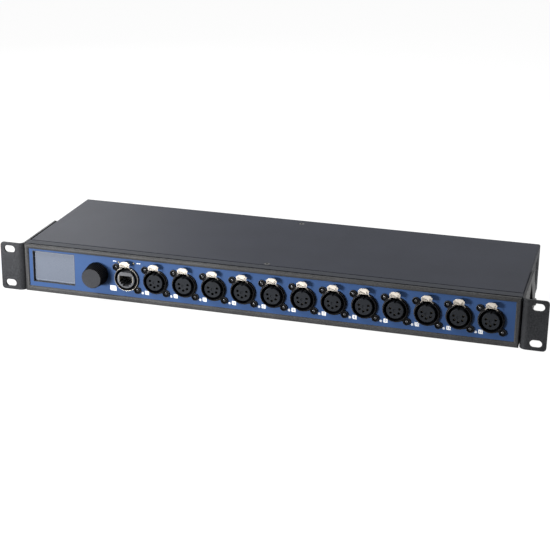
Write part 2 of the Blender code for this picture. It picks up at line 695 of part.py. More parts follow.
def latch_notch():
    """The slit that a latch's lever passes through, from inside the barrel out over the flange."""
    reach = LEVER_WIDTH / 2 + NOTCH_MARGIN
    floor = PIVOT_Y - LEVER_THICKNESS / 2 - NOTCH_MARGIN
    end = PIVOT_Z - LEVER_TAIL - NOTCH_END
    return box((-reach, floor, end), (reach, FLANGE_RADIUS + BEYOND, BEYOND))


def make_insert():
    """Contact block of a five-contact socket: a round core on a base disc, with the key slot at its top."""
    edge_radius = INSERT_RADIUS - INSERT_EDGE
    core = rod(INSERT_RADIUS, INSERT_BASE / 2 - BARREL_DEPTH, INSERT_HEIGHT, far_radius=edge_radius)
    join(core, rod(CAVITY_RADIUS - GAP, -BARREL_DEPTH, INSERT_BASE - BARREL_DEPTH))
    holes = []
    for index in range(CONTACT_COUNT):
        angle = -math.pi / 2 + (index - CONTACT_COUNT // 2) * CONTACT_SPREAD
        x, y = CONTACT_CIRCLE * math.cos(angle), CONTACT_CIRCLE * math.sin(angle)
        holes.append(rod(CONTACT_RADIUS, INSERT_HEIGHT - CONTACT_DEPTH, BEYOND, x, y, sides=6))
    key = box(
        (-KEY_WIDTH / 2, INSERT_RADIUS - KEY_DEPTH, INSERT_HEIGHT - CONTACT_DEPTH),
        (KEY_WIDTH / 2, INSERT_RADIUS + BEYOND, BEYOND),
    )
    return cut(core, key, *holes)


def make_latch():
    """Sprung latch: a leaning pad, a lever through the shell's notch, and the nose that holds the plug."""
    foot, head = PAD_FOOT_WIDTH / 2, PAD_WIDTH / 2
    right_side = [(foot, 0), (head, PAD_SHOULDER), (head, PAD_HEIGHT)]
    left_side = [(-x, y) for x, y in reversed(right_side)]
    pad = plate(right_side + left_side, -PAD_THICKNESS, 0)
    rounding = pad.modifiers.new("corners", "BEVEL")
    rounding.affect = "EDGES"
    rounding.limit_method = "WEIGHT"
    rounding.width = PAD_CORNER
    rounding.segments = 3
    weights = pad.data.attributes.new("bevel_weight_edge", "FLOAT", "EDGE")
    for edge in pad.data.edges:
        ends = [pad.data.vertices[index].co for index in edge.vertices]
        upright = abs(ends[0].z - ends[1].z) > PAD_THICKNESS / 2
        at_head = min(end.y for end in ends) > PAD_HEIGHT - GAP
        weights.data[edge.index].value = 1.0 if upright and at_head else 0.0
    bake(pad)
    pad.data.transform(Matrix.Rotation(-PAD_LEAN, 4, "X"))
    low = PIVOT_Y - LEVER_THICKNESS / 2
    high = PIVOT_Y + LEVER_THICKNESS / 2
    pad.data.transform(Matrix.Translation((0, low, PAD_FRONT)))
    half = LEVER_WIDTH / 2
    tail = PIVOT_Z - LEVER_TAIL
    lever = box((-half, low, tail), (half, high, PAD_FRONT - PAD_THICKNESS / 2))
    nose = box((-half / 2, low - NOSE_HEIGHT, tail), (half / 2, high - GAP, tail + NOSE_LENGTH))
    join(pad, lever, nose)
    # The object's origin is the axle.
    pad.data.transform(Matrix.Translation((0, -PIVOT_Y, -PIVOT_Z)))
    return pad


def make_jack():
    """Network jack: a round block with a flat top, and the stepped opening of an eight-contact plug."""
    jack = rod(JACK_RADIUS, INSERT_BASE / 2 - BARREL_DEPTH, INSERT_HEIGHT)
    cut(jack, box((-BEYOND, JACK_FLAT, -BARREL_DEPTH - BEYOND), (BEYOND, BEYOND, BEYOND)))
    join(jack, rod(CAVITY_RADIUS - GAP, -BARREL_DEPTH, INSERT_BASE - BARREL_DEPTH))
    return cut(jack, *port_cutters(INSERT_HEIGHT))


def port_cutters(mouth):
    floor = mouth - PORT_DEPTH
    half = PORT_WIDTH / 2
    cutters = [box((-half, PORT_BOTTOM, floor), (half, PORT_TOP, mouth + BEYOND))]
    for width, bottom in PORT_STEPS:
        cutters.append(box((-width / 2, bottom, floor), (width / 2, PORT_TOP - GAP, mouth + BEYOND)))
    return cutters


def make_sockets(shell_shade, insert_shade, latch_shade, jack_shade, ring_shade):
    """Twelve five-contact sockets and the network socket, each a shell, a contact block and a latch."""
    shell = finish(make_shell(), "network_shell", shell_shade, smooth=True)
    insert = finish(make_insert(), "contact_block", insert_shade, smooth=True)
    latch = finish(make_latch(), "network_latch", latch_shade, smooth=True)
    jack = finish(make_jack(), "network_jack", jack_shade, smooth=True)
    for index, x in enumerate(socket_places(), start=1):
        put_on_face(copy_of(shell, f"xlr_shell_{index:02d}"), x, SOCKET_Z)
        put_on_face(copy_of(insert, f"xlr_insert_{index:02d}"), x, SOCKET_Z)
        put_latch(copy_of(latch, f"xlr_latch_{index:02d}"), x)
    bpy.data.objects.remove(insert)
    ring_low = FLANGE_THICKNESS + GAP
    ring_bore = COLLAR_RADIUS + GAP / 2
    ring = rod(ring_bore + RING_WIDTH, ring_low, ring_low + RING_HEIGHT)
    cut(ring, rod(ring_bore, -BEYOND, BEYOND), latch_notch())
    put_on_face(finish(ring, "network_ring", ring_shade, smooth=True), NETWORK_X, SOCKET_Z)
    put_on_face(shell, NETWORK_X, SOCKET_Z)
    put_on_face(jack, NETWORK_X, SOCKET_Z)
    put_latch(latch, NETWORK_X)


def put_latch(latch, x):
    latch.rotation_euler = FACE_TURN
    latch.location = (x, FACE_Y - PIVOT_Z, SOCKET_Z + PIVOT_Y)


def make_inside(board_shade, supply_shade):
    """Main board on the tray's standoffs under the sockets' barrels, and the closed power supply."""
    half = BOARD_HALF_WIDTH
    board_back = FRONT + BOARD_BACK
    board = box((-half, FRONT + BOARD_FRONT, BOARD_LOW), (half, board_back, BOARD_TOP))
    finish(board, "main_board", board_shade)
    right = HALF_CASE - SHEET - SUPPLY_SIDE_MARGIN
    front = board_back + SUPPLY_CLEARANCE
    base = SHEET + GAP
    supply = box(
        (right - SUPPLY_WIDTH, front, base),
        (right, front + SUPPLY_DEPTH, base + SUPPLY_HEIGHT),
        rounded=(("-X", "+Z"), ("+X", "+Z")),
        radius=SHEET,
        segments=2,
    )
    finish(supply, "power_supply", supply_shade)


def make_inlet(shade):
    """Three-blade appliance inlet in the back, its mouth open to the rear."""
    front = GAP + INLET_FLANGE_THICKNESS
    floor = front - INLET_MOUTH_DEPTH
    inlet = centred_box(Vector(INLET_BODY) + Vector((2, 2)) * INLET_LAP, GAP, front)
    join(inlet, centred_box(INLET_BODY, floor - INLET_FLOOR, 2 * GAP))
    cut(inlet, centred_box(INLET_MOUTH, floor, BEYOND))
    blades = []
    for offset, rise in ((-BLADE_SPACING, -BLADE_RISE), (0, BLADE_RISE), (BLADE_SPACING, -BLADE_RISE)):
        blade = centred_box((BLADE_WIDTH, BLADE_HEIGHT), floor - GAP, floor + BLADE_LENGTH)
        blade.data.transform(Matrix.Translation((offset, rise, 0)))
        blades.append(blade)
    join(inlet, *blades)
    finish(turn_to(inlet, REAR_TURN, (INLET_X, BACK, INLET_Z)), "mains_inlet", shade)


def make_rear_jack(shade):
    """Flanged network jack in the back."""
    half = Vector(REAR_JACK_FLANGE) / 2
    outline = [(-half.x, -half.y), (half.x, -half.y), (half.x, half.y), (-half.x, half.y)]
    mouth = GAP + REAR_JACK_FLANGE_THICKNESS
    jack = plate(outline, GAP, mouth, corner=REAR_JACK_CORNER)
    join(jack, rod(REAR_JACK_RADIUS, -REAR_JACK_DEPTH, 2 * GAP))
    cut(jack, *port_cutters(mouth))
    finish(turn_to(jack, REAR_TURN, (REAR_JACK_X, BACK, SOCKET_Z)), "rear_network_jack", shade, smooth=True)


def main():
    clear_scene()
    cover_paint = material("cover_paint", (0.065, 0.07, 0.08), 0.55)
    tray_paint = material("tray_paint", (0.05, 0.052, 0.058), 0.6)
    bezel_paint = material("bezel_paint", (0.09, 0.09, 0.09), 0.6)
    ear_paint = material("ear_paint", (0.04, 0.041, 0.043), 0.6)
    panel_blue = material("panel_blue", (0.07, 0.14, 0.36), 0.45)
    frame_black = material("frame_black", (0.006, 0.006, 0.007), 0.5)
    screen_glass = material("screen_glass", (0.24, 0.28, 0.35), 0.12)
    board_green = material("board_green", (0.01, 0.08, 0.03), 0.5)
    knob_black = material("knob_black", (0.02, 0.02, 0.022), 0.6)
    steel = material("steel", (0.6, 0.6, 0.6), 0.35, 1.0)
    screw_black = material("screw_black", (0.015, 0.015, 0.016), 0.35)
    shell_black = material("shell_black", (0.012, 0.012, 0.013), 0.4)
    insert_grey = material("insert_grey", (0.035, 0.036, 0.04), 0.55)
    latch_nickel = material("latch_nickel", (0.72, 0.69, 0.64), 0.4, 1.0)
    jack_grey = material("jack_grey", (0.06, 0.062, 0.068), 0.5)
    ring_nickel = material("ring_nickel", (0.7, 0.66, 0.58), 0.3, 1.0)
    supply_steel = material("supply_steel", (0.45, 0.46, 0.47), 0.45, 1.0)
    inlet_black = material("inlet_black", (0.014, 0.014, 0.015), 0.5)

    make_tray(tray_paint)
    make_cover(cover_paint)
    make_cover_screws(screw_black)
    make_bezel(bezel_paint)
    make_front_plate(panel_blue)
    make_ear("left_ear", -1, ear_paint)
    make_ear("right_ear", 1, ear_paint)
    make_display(frame_black, screen_glass, frame_black)
    make_encoder(steel, frame_black, steel, knob_black)
    make_sockets(shell_black, insert_grey, latch_nickel, jack_grey, ring_nickel)
    make_inside(board_green, supply_steel)
    make_inlet(inlet_black)
    make_rear_jack(inlet_black)


main()
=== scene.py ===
"""A one-unit rack DMX gateway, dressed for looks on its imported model. Metres, +X right, +Y back, +Z up."""

import math

import bmesh
import bpy
from mathutils import Matrix, Vector


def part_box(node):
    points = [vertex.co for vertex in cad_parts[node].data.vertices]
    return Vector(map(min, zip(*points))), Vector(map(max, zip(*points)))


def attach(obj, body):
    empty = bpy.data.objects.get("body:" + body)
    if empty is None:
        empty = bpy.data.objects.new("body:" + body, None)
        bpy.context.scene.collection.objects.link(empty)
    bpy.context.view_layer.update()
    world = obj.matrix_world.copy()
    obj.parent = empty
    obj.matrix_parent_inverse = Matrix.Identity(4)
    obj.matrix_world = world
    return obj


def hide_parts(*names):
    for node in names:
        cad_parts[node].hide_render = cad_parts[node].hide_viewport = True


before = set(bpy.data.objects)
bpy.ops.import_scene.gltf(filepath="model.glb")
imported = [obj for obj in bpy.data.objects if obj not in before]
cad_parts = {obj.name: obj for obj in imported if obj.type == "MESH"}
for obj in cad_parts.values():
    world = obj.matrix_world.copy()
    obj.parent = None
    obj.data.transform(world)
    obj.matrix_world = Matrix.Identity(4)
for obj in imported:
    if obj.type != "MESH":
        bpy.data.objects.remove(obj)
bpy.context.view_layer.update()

# Camera, right of the middle and above, with a long lens.
# Its place and lens come from the rack's known sizes in the photograph.
camera_place = Vector((0.3157, -1.1531, 0.4537))
camera_aim = Vector((0.01218, -0.071, 0.04084))
camera_roll = math.radians(0.78)

camera = bpy.data.objects.new("camera", bpy.data.cameras.new("camera"))
camera.data.lens = 93.08
camera.data.sensor_width = 36.0
turn = (camera_aim - camera_place).to_track_quat("-Z", "Y").to_matrix().to_4x4()
camera.matrix_world = Matrix.Translation(camera_place) @ turn @ Matrix.Rotation(camera_roll, 4, "Z")
bpy.context.scene.collection.objects.link(camera)
bpy.context.scene.camera = camera

# Studio: a white room, and a pale table that takes the object's shadow. The key lamp stands low in front
# on the left, with a soft lamp high above it. Two more stand behind, on the left and high on the right.
bpy.context.scene.view_settings.view_transform = "Standard"

background_strength = 1.0
room_light = 0.07
table_glow = 0.95
table_colour = (0.16, 0.16, 0.16, 1.0)
table_reach = 6.0
table_drop = 0.0002


def directly_seen(nodes, links):
    """1 for rays of the camera, of reflections and through glass, which show the white background."""
    path = nodes.new("ShaderNodeLightPath")
    seen = path.outputs["Is Camera Ray"]
    for other in ("Is Glossy Ray", "Is Transmission Ray"):
        either = nodes.new("ShaderNodeMath")
        either.operation = "MAXIMUM"
        links.new(seen, either.inputs[0])
        links.new(path.outputs[other], either.inputs[1])
        seen = either.outputs[0]
    return seen


world = bpy.data.worlds.new("studio")
world.use_nodes = True
bpy.context.scene.world = world
nodes, links = world.node_tree.nodes, world.node_tree.links
seen = directly_seen(nodes, links)
strength = nodes.new("ShaderNodeMapRange")
strength.inputs["To Min"].default_value = room_light
strength.inputs["To Max"].default_value = background_strength
links.new(seen, strength.inputs["Value"])
nodes["Background"].inputs["Color"].default_value = (1.0, 1.0, 1.0, 1.0)
links.new(strength.outputs["Result"], nodes["Background"].inputs["Strength"])

table_finish = bpy.data.materials.new("table")
table_finish.use_nodes = True
nodes, links = table_finish.node_tree.nodes, table_finish.node_tree.links
nodes.clear()
seen = directly_seen(nodes, links)
glow_strength = nodes.new("ShaderNodeMath")
glow_strength.operation = "MULTIPLY"
glow_strength.inputs[1].default_value = table_glow
links.new(seen, glow_strength.inputs[0])
glow = nodes.new("ShaderNodeEmission")
links.new(glow_strength.outputs[0], glow.inputs["Strength"])
paper = nodes.new("ShaderNodeBsdfDiffuse")
paper.inputs["Color"].default_value = table_colour
both = nodes.new("ShaderNodeAddShader")
links.new(paper.outputs[0], both.inputs[0])
links.new(glow.outputs[0], both.inputs[1])
out = nodes.new("ShaderNodeOutputMaterial")
links.new(both.outputs[0], out.inputs["Surface"])

form = bmesh.new()
under_feet = Matrix.Translation((0, 0, -table_drop))
bmesh.ops.create_grid(form, x_segments=1, y_segments=1, size=table_reach, matrix=under_feet)
table_mesh = bpy.data.meshes.new("table")
form.to_mesh(table_mesh)
form.free()
table_mesh.materials.append(table_finish)
table = bpy.data.objects.new("table", table_mesh)
bpy.context.scene.collection.objects.link(table)

for name, place, aim, width, height, power in (
    ("key", (-0.41, -0.68, 0.080), (-0.10, -0.07, 0.03), 0.20, 0.10, 7.4),
    ("high_left", (-0.42, -0.32, 0.60), (-0.15, -0.07, 0.03), 0.30, 0.30, 4.4),
    ("rim_left", (-0.62, 0.80, 0.44), (-0.12, 0.0, 0.04), 0.30, 0.20, 1.6),
    ("high_right", (0.35, 0.45, 0.90), (0.10, 0.0, 0.03), 0.50, 0.50, 4.0),
):
    lamp = bpy.data.lights.new(name, "AREA")
    lamp.shape = "RECTANGLE"
    lamp.size = width
    lamp.size_y = height
    lamp.energy = power
    stand = bpy.data.objects.new(name, lamp)
    aim_turn = (Vector(aim) - Vector(place)).to_track_quat("-Z", "Y").to_matrix().to_4x4()
    stand.matrix_world = Matrix.Translation(place) @ aim_turn
    bpy.context.scene.collection.objects.link(stand)

# Tray: bottom, sides, back and the narrow strip of top behind the front frame, folded from 1.5 mm steel.
# It is powder coated dark grey, with vents cut in both sides and posts pressed into its bottom.
MM = 0.001
merge_reach = 0.002 * MM
flat_angle = math.radians(1)
sheet_edge = 0.12 * MM
near = 1e-6
touching = 1e-7


def face_out(form):
    """Turns the faces of one closed shape outwards."""
    bmesh.ops.recalc_face_normals(form, faces=form.faces)
    if form.calc_volume(signed=True) < 0:
        bmesh.ops.reverse_faces(form, faces=form.faces)


def as_object(form):
    """An object at the origin from a bmesh."""
    mesh = bpy.data.meshes.new("shape")
    form.to_mesh(mesh)
    form.free()
    made = bpy.data.objects.new("shape", mesh)
    bpy.context.scene.collection.objects.link(made)
    return made


def solid(form):
    """An object from one closed shape, its faces outwards."""
    face_out(form)
    return as_object(form)


def reopened(mesh, whole=True):
    """A mesh to be worked on: its doubled points merged and, as a rule, its flat faces made whole."""
    form = bmesh.new()
    form.from_mesh(mesh)
    bmesh.ops.remove_doubles(form, verts=form.verts, dist=merge_reach)
    if whole:
        bmesh.ops.dissolve_limit(form, angle_limit=flat_angle, verts=form.verts, edges=form.edges)
    return form


def soften(form, width, sharper_than=40, steps=2):
    """Rounds every edge that is sharper than an angle."""
    limit = math.radians(sharper_than)
    edges = [edge for edge in form.edges if len(edge.link_faces) == 2 and edge.calc_face_angle() > limit]
    bmesh.ops.bevel(
        form,
        geom=edges,
        offset=width,
        segments=steps,
        affect="EDGES",
        profile=0.5,
        clamp_overlap=True,
        material=-1,
    )


drift_size = 38 * MM
drift_share = 0.3
tone_span = (0.36, 0.64)
gloss_span = (0.3, 0.7)
gloss_play = 0.06


def grained(name, colour, roughness, grain, height, contrast=0.18, metallic=0.0, specular=0.5):
    """A finely grained finish: close shades of one colour, uneven gloss, and a bump of some height."""
    finish = bpy.data.materials.new(name)
    finish.use_nodes = True
    nodes, links = finish.node_tree.nodes, finish.node_tree.links
    shader = nodes["Principled BSDF"]
    shader.inputs["Metallic"].default_value = metallic
    shader.inputs["Specular IOR Level"].default_value = specular
    place = nodes.new("ShaderNodeTexCoord")
    speck = nodes.new("ShaderNodeTexNoise")
    speck.inputs["Scale"].default_value = 1 / grain
    speck.inputs["Detail"].default_value = 3.0
    links.new(place.outputs["Object"], speck.inputs["Vector"])
    drift = nodes.new("ShaderNodeTexNoise")
    drift.inputs["Scale"].default_value = 1 / drift_size
    drift.inputs["Detail"].default_value = 2.0
    links.new(place.outputs["Object"], drift.inputs["Vector"])
    blend = nodes.new("ShaderNodeMix")
    blend.inputs[0].default_value = drift_share
    links.new(speck.outputs["Fac"], blend.inputs[2])
    links.new(drift.outputs["Fac"], blend.inputs[3])
    tones = nodes.new("ShaderNodeValToRGB")
    for element, position, shade in zip(tones.color_ramp.elements, tone_span, (1 - contrast, 1 + contrast)):
        element.position = position
        element.color = (*(part * shade for part in colour), 1.0)
    links.new(blend.outputs[0], tones.inputs["Fac"])
    links.new(tones.outputs["Color"], shader.inputs["Base Color"])
    gloss = nodes.new("ShaderNodeMapRange")
    gloss.inputs["From Min"].default_value = gloss_span[0]
    gloss.inputs["From Max"].default_value = gloss_span[1]
    gloss.inputs["To Min"].default_value = roughness - gloss_play
    gloss.inputs["To Max"].default_value = roughness + gloss_play
    links.new(speck.outputs["Fac"], gloss.inputs["Value"])
    links.new(gloss.outputs["Result"], shader.inputs["Roughness"])
    relief = nodes.new("ShaderNodeBump")
    relief.inputs["Strength"].default_value = 1.0
    relief.inputs["Distance"].default_value = height
    links.new(speck.outputs["Fac"], relief.inputs["Height"])
    links.new(relief.outputs["Normal"], shader.inputs["Normal"])
    return finish


def dress(made, name, finish, crease=35):
    """Names a piece, gives it its finish, and shades it smooth up to its creases."""
    made.name = name
    made.data.name = name
    made.data.materials.clear()
    made.data.materials.append(finish)
    made.data.shade_smooth()
    made.data.set_sharp_from_angle(angle=math.radians(crease))
    normals = made.modifiers.new("normals", "WEIGHTED_NORMAL")
    normals.keep_sharp = True
    return made


tray_paint = grained(
    "tray_paint", (0.029, 0.032, 0.040), roughness=0.6, grain=0.5 * MM, height=0.02 * MM, specular=0.12
)
front_gap = 1.0 * MM
form = reopened(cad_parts["chassis_tray"].data)
front_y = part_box("chassis_tray")[0].y
for vert in form.verts:
    if vert.co.y < front_y + 10 * near:
        vert.co.y += front_gap
soften(form, sheet_edge)
tray = dress(solid(form), "case_tray", tray_paint)
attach(tray, "chassis")
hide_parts("chassis_tray")

# Inside: the main board on its posts, the closed power supply, and the works of display and encoder.
# They show only through the vents and the sockets.
board_finish = grained(
    "board_green", (0.012, 0.075, 0.030), roughness=0.45, grain=1.2 * MM, height=0.01 * MM, contrast=0.3
)
supply_finish = grained(
    "supply_steel", (0.44, 0.45, 0.46),
    roughness=0.42, grain=2.0 * MM, height=0.01 * MM, contrast=0.12, metallic=1.0,
)
bright_steel = grained(
    "steel", (0.58, 0.58, 0.57),
    roughness=0.32, grain=0.3 * MM, height=0.004 * MM, contrast=0.08, metallic=1.0,
)
moulded_black = grained(
    "frame_black", (0.007, 0.007, 0.008), roughness=0.5, grain=0.25 * MM, height=0.006 * MM, contrast=0.25
)


def repaint(node, finish):
    """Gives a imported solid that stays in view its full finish."""
    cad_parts[node].material_slots[0].material = finish


repaint("main_board", board_finish)
repaint("power_supply", supply_finish)
repaint("display_module", moulded_black)
repaint("encoder_body", bright_steel)
repaint("encoder_rotor", moulded_black)
repaint("encoder_shaft", bright_steel)

# Cover: a sheet steel lid with short side skirts, its long bends rounded, powder coated.
# Two countersunk screws hold it to the ledges of the tray.
bend_radius = 1.6 * MM
sheet = 1.5 * MM
beyond = 10 * MM
seam = 0.9 * MM
screw_top_radius = 2.6 * MM
screw_shank = 1.3 * MM
screw_hexagon = 1.1 * MM
sink_top_radius = 3.1 * MM
sink_play = 0.3 * MM


def block(low, high):
    """A block between two corners."""
    low, high = Vector(low), Vector(high)
    form = bmesh.new()
    place = Matrix.Translation((low + high) / 2) @ Matrix.Diagonal((*(high - low), 1))
    bmesh.ops.create_cube(form, size=1, matrix=place)
    return form


def rounded(form, parts, radius, steps, affect="EDGES"):
    """Rounds some edges, or the corners of an outline."""
    bmesh.ops.bevel(
        form,
        geom=parts,
        offset=radius,
        segments=steps,
        affect=affect,
        profile=0.5,
        material=-1,
    )
    return form


def carved(made, operation, helpers):
    """Joins the helpers to a piece, or cuts them from it, and removes them."""
    for helper in helpers:
        step = made.modifiers.new(operation, "BOOLEAN")
        step.operation = operation
        step.object = helper
    graph = bpy.context.evaluated_depsgraph_get()
    mesh = bpy.data.meshes.new_from_object(made.evaluated_get(graph))
    made.modifiers.clear()
    made.data = mesh
    for helper in helpers:
        bpy.data.objects.remove(helper)
    return made


def rod(radius, low, high, x=0.0, y=0.0, sides=48, far_radius=None, rounding=0.0):
    """A round rod or cone along Z, the rim of its far end rounded."""
    form = bmesh.new()
    bmesh.ops.create_cone(
        form,
        cap_ends=True,
        segments=sides,
        radius1=radius,
        radius2=radius if far_radius is None else far_radius,
        depth=high - low,
        matrix=Matrix.Translation((x, y, (low + high) / 2)),
    )
    if rounding:
        rim = [edge for edge in form.edges if all(abs(vert.co.z - high) < touching for vert in edge.verts)]
        rounded(form, rim, rounding, 3)
    return form


cover_paint = grained(
    "cover_paint", (0.024, 0.027, 0.038), roughness=0.5, grain=0.45 * MM, height=0.02 * MM, specular=0.08
)
low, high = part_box("top_cover")
form = block((low.x, low.y + seam, low.z), high)
bends = [
    edge for edge in form.edges
    if all(vert.co.z > high.z - near for vert in edge.verts)
    and abs(edge.verts[0].co.x - edge.verts[1].co.x) < near
]
rounded(form, bends, bend_radius, 8)
cover = solid(form)
hollow = solid(block(
    (low.x + sheet, low.y - beyond, low.z - beyond),
    (high.x - sheet, high.y + beyond, high.z - sheet),
))
screw_names = ("cover_screw_front", "cover_screw_rear")
screw_places = [sum(corner.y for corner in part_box(name)) / 2 for name in screw_names]
sink_span = (high.z - sheet - sink_play, high.z + sink_play)
sinks = [
    solid(rod(screw_shank + sink_play, *sink_span, 0, y, far_radius=sink_top_radius))
    for y in screw_places
]
carved(cover, "DIFFERENCE", [hollow, *sinks])
form = reopened(cover.data, whole=False)
soften(form, sheet_edge)
bpy.data.objects.remove(cover)
cover = dress(solid(form), "case_cover", cover_paint)
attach(cover, "chassis")
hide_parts("top_cover")

screw_black = grained(
    "screw_black", (0.020, 0.020, 0.021),
    roughness=0.32, grain=0.2 * MM, height=0.003 * MM, contrast=0.2, specular=0.4,
)
head_span = (high.z - 1.2 * MM, high.z - 0.1 * MM)
shank_span = (high.z - 3.0 * MM, high.z - 1.0 * MM)
hexagon_span = (high.z - 0.9 * MM, high.z + MM)
for name, y in zip(screw_names, screw_places):
    head = solid(rod(screw_shank, *head_span, 0, y, far_radius=screw_top_radius, rounding=0.1 * MM))
    shank = solid(rod(screw_shank - 0.3 * MM, *shank_span, 0, y, sides=24))
    carved(head, "UNION", [shank])
    carved(head, "DIFFERENCE", [solid(rod(screw_hexagon, *hexagon_span, 0, y, sides=6))])
    dress(head, f"{name}_head", screw_black)
    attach(head, "chassis")
    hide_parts(name)

# Front frame: a die-cast frame, rounded outside and inside, with a coarse textured dark coat.
# It is fixed from behind and presses the front plate into its rebate.
frame_rounding = 1.7 * MM
rear_rounding = 1.2 * MM
mouth_rounding = 2.0 * MM
plate_lap = 1.5 * MM
top_lap = 0.5 * MM
foot_lap = 1.2 * MM
side_lap = 1.2 * MM
pocket_play = 0.1 * MM

bezel_paint = grained(
    "bezel_paint", (0.048, 0.048, 0.049),
    roughness=0.45, grain=0.9 * MM, height=0.05 * MM, contrast=0.4, specular=0.12,
)
low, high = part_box("front_bezel")
plate_low, plate_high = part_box("front_panel")
mouth_top = plate_high.z - top_lap
mouth_foot = plate_low.z + foot_lap
mouth_middle_z = (mouth_foot + mouth_top) / 2
mouth_half_x = plate_high.x - side_lap
mouth_half_z = (mouth_top - mouth_foot) / 2
face_y = plate_low.y
bezel = solid(block(low, high))
mouth = solid(block(
    (-mouth_half_x, low.y - beyond, mouth_middle_z - mouth_half_z),
    (mouth_half_x, high.y + beyond, mouth_middle_z + mouth_half_z),
))
carved(bezel, "DIFFERENCE", [mouth])
form = reopened(bezel.data)
bpy.data.objects.remove(bezel)


def on_front(edge):
    """Whether an edge of the frame lies in its front."""
    return all(vert.co.y < low.y + near for vert in edge.verts)


def on_outline(edge):
    """Whether an edge of the frame is a sharp one of its outline."""
    return edge.calc_face_angle() > 1 and (
        all(abs(vert.co.x) > mouth_half_x + MM for vert in edge.verts)
        or all(abs(vert.co.z - mouth_middle_z) > mouth_half_z + MM for vert in edge.verts)
    )


outer = [edge for edge in form.edges if on_front(edge) and on_outline(edge)]
rounded(form, outer, frame_rounding, 8)
rear = [
    edge for edge in form.edges
    if all(vert.co.y > high.y - near for vert in edge.verts) and on_outline(edge)
]
rounded(form, rear, rear_rounding, 5)
inner = [
    edge for edge in form.edges
    if on_front(edge) and edge.calc_face_angle() > 1
    and all(abs(vert.co.x) < mouth_half_x + 10 * near for vert in edge.verts)
    and all(abs(vert.co.z - mouth_middle_z) < mouth_half_z + 10 * near for vert in edge.verts)
]
rounded(form, inner, mouth_rounding, 5)
bezel = solid(form)
pocket = solid(block(
    (-mouth_half_x - plate_lap, face_y - pocket_play, mouth_middle_z - mouth_half_z - plate_lap),
    (mouth_half_x + plate_lap, high.y + beyond, mouth_middle_z + mouth_half_z + plate_lap),
))
carved(bezel, "DIFFERENCE", [pocket])
dress(bezel, "front_frame", bezel_paint)
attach(bezel, "chassis")
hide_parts("front_bezel")

# Front plate: aluminium, blasted and anodised blue, with holes for all that it carries.
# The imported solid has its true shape, so it stays and gets its finish.
panel_blue = grained(
    "panel_blue", (0.031, 0.072, 0.184),
    roughness=0.42, grain=0.35 * MM, height=0.010 * MM, contrast=0.08, specular=0.16,
)
repaint("front_panel", panel_blue)

# Rack ears: 2 mm sheet steel bent at a right angle, slotted for the rack's screws, the long leg cut out.
# Powder coated black with a fine texture; three black screws hold each one to the side of the case.
ear_sheet = 2.0 * MM
ear_bend = 6.0 * MM
ear_corner = 3.0 * MM
slot_length = 10.1 * MM
slot_height = 6.5 * MM
slot_spacing = 31.75 * MM
slot_x = 232.55 * MM
ear_front_y = -71.0 * MM
unit_height = 43.7 * MM
slope_top = Vector((0, 0.0, unit_height))
slope_foot = Vector((0, 29.0 * MM, 14.7 * MM))
cutout_rounding = 2.5 * MM
cutout_span = (210 * MM, 230 * MM)
cutout_corners = ((-38.0 * MM, 13.5 * MM), (8.0 * MM, 13.5 * MM), (-15.0 * MM, 38.5 * MM))
ear_edge = 0.3 * MM
ear_screw_radius = 3.6 * MM
ear_screw_crown = 3.0 * MM
ear_screw_height = 2.2 * MM
ear_screw_rounding = 0.7 * MM
ear_screw_hexagon = 1.2 * MM
ear_screw_floor = 0.7 * MM
ear_screw_places = ((-58.0 * MM, 10.0 * MM), (-58.0 * MM, 33.7 * MM), (19.5 * MM, 8.0 * MM))

ear_paint = grained(
    "ear_paint", (0.034, 0.035, 0.038),
    roughness=0.42, grain=0.7 * MM, height=0.035 * MM, contrast=0.45, specular=0.06,
)


def prism(outline, low, high, corners=(), radius=0.0, steps=6):
    """A flat outline in XY with some corners rounded, given a thickness along Z."""
    form = bmesh.new()
    verts = [form.verts.new((x, y, low)) for x, y in outline]
    form.faces.new(verts)
    if corners:
        rounded(form, [verts[index] for index in corners], radius, steps, "VERTICES")
    grown = bmesh.ops.extrude_face_region(form, geom=form.faces[:])["geom"]
    rising = [item for item in grown if isinstance(item, bmesh.types.BMVert)]
    bmesh.ops.translate(form, verts=rising, vec=(0, 0, high - low))
    return form


def ear_form():
    """The right ear: the bent line of its edge, raised to full height, trimmed to its slope and thickened."""
    form = bmesh.new()
    leg_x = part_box("right_ear")[0].x
    tip_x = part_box("right_ear")[1].x
    corner = form.verts.new((leg_x, ear_front_y, 0))
    tip = form.verts.new((tip_x, ear_front_y, 0))
    foot = form.verts.new((leg_x, slope_foot.y, 0))
    form.edges.new((tip, corner))
    form.edges.new((corner, foot))
    grown = bmesh.ops.extrude_edge_only(form, edges=form.edges[:])["geom"]
    risen = [item for item in grown if isinstance(item, bmesh.types.BMVert)]
    bmesh.ops.translate(form, verts=risen, vec=(0, 0, unit_height))
    fold = [
        edge for edge in form.edges
        if all(abs(vert.co.x - leg_x) < touching for vert in edge.verts)
        and all(abs(vert.co.y - ear_front_y) < touching for vert in edge.verts)
    ]
    rounded(form, fold, ear_bend, 12)
    along = slope_foot - slope_top
    bmesh.ops.bisect_plane(
        form,
        geom=form.verts[:] + form.edges[:] + form.faces[:],
        plane_co=slope_top,
        plane_no=(0, -along.z, along.y),
        clear_outer=True,
    )
    tips = [vert for vert in form.verts if vert.co.x > tip_x - near]
    rounded(form, tips, ear_corner, 6, "VERTICES")
    bmesh.ops.recalc_face_normals(form, faces=form.faces)
    flange = [face for face in form.faces if face.calc_center_median().x > leg_x + ear_bend]
    if sum(face.normal.y for face in flange) > 0:
        bmesh.ops.reverse_faces(form, faces=form.faces)
    made = as_object(form)
    thick = made.modifiers.new("sheet", "SOLIDIFY")
    thick.thickness = ear_sheet
    thick.offset = -1
    thick.use_even_offset = True
    return made


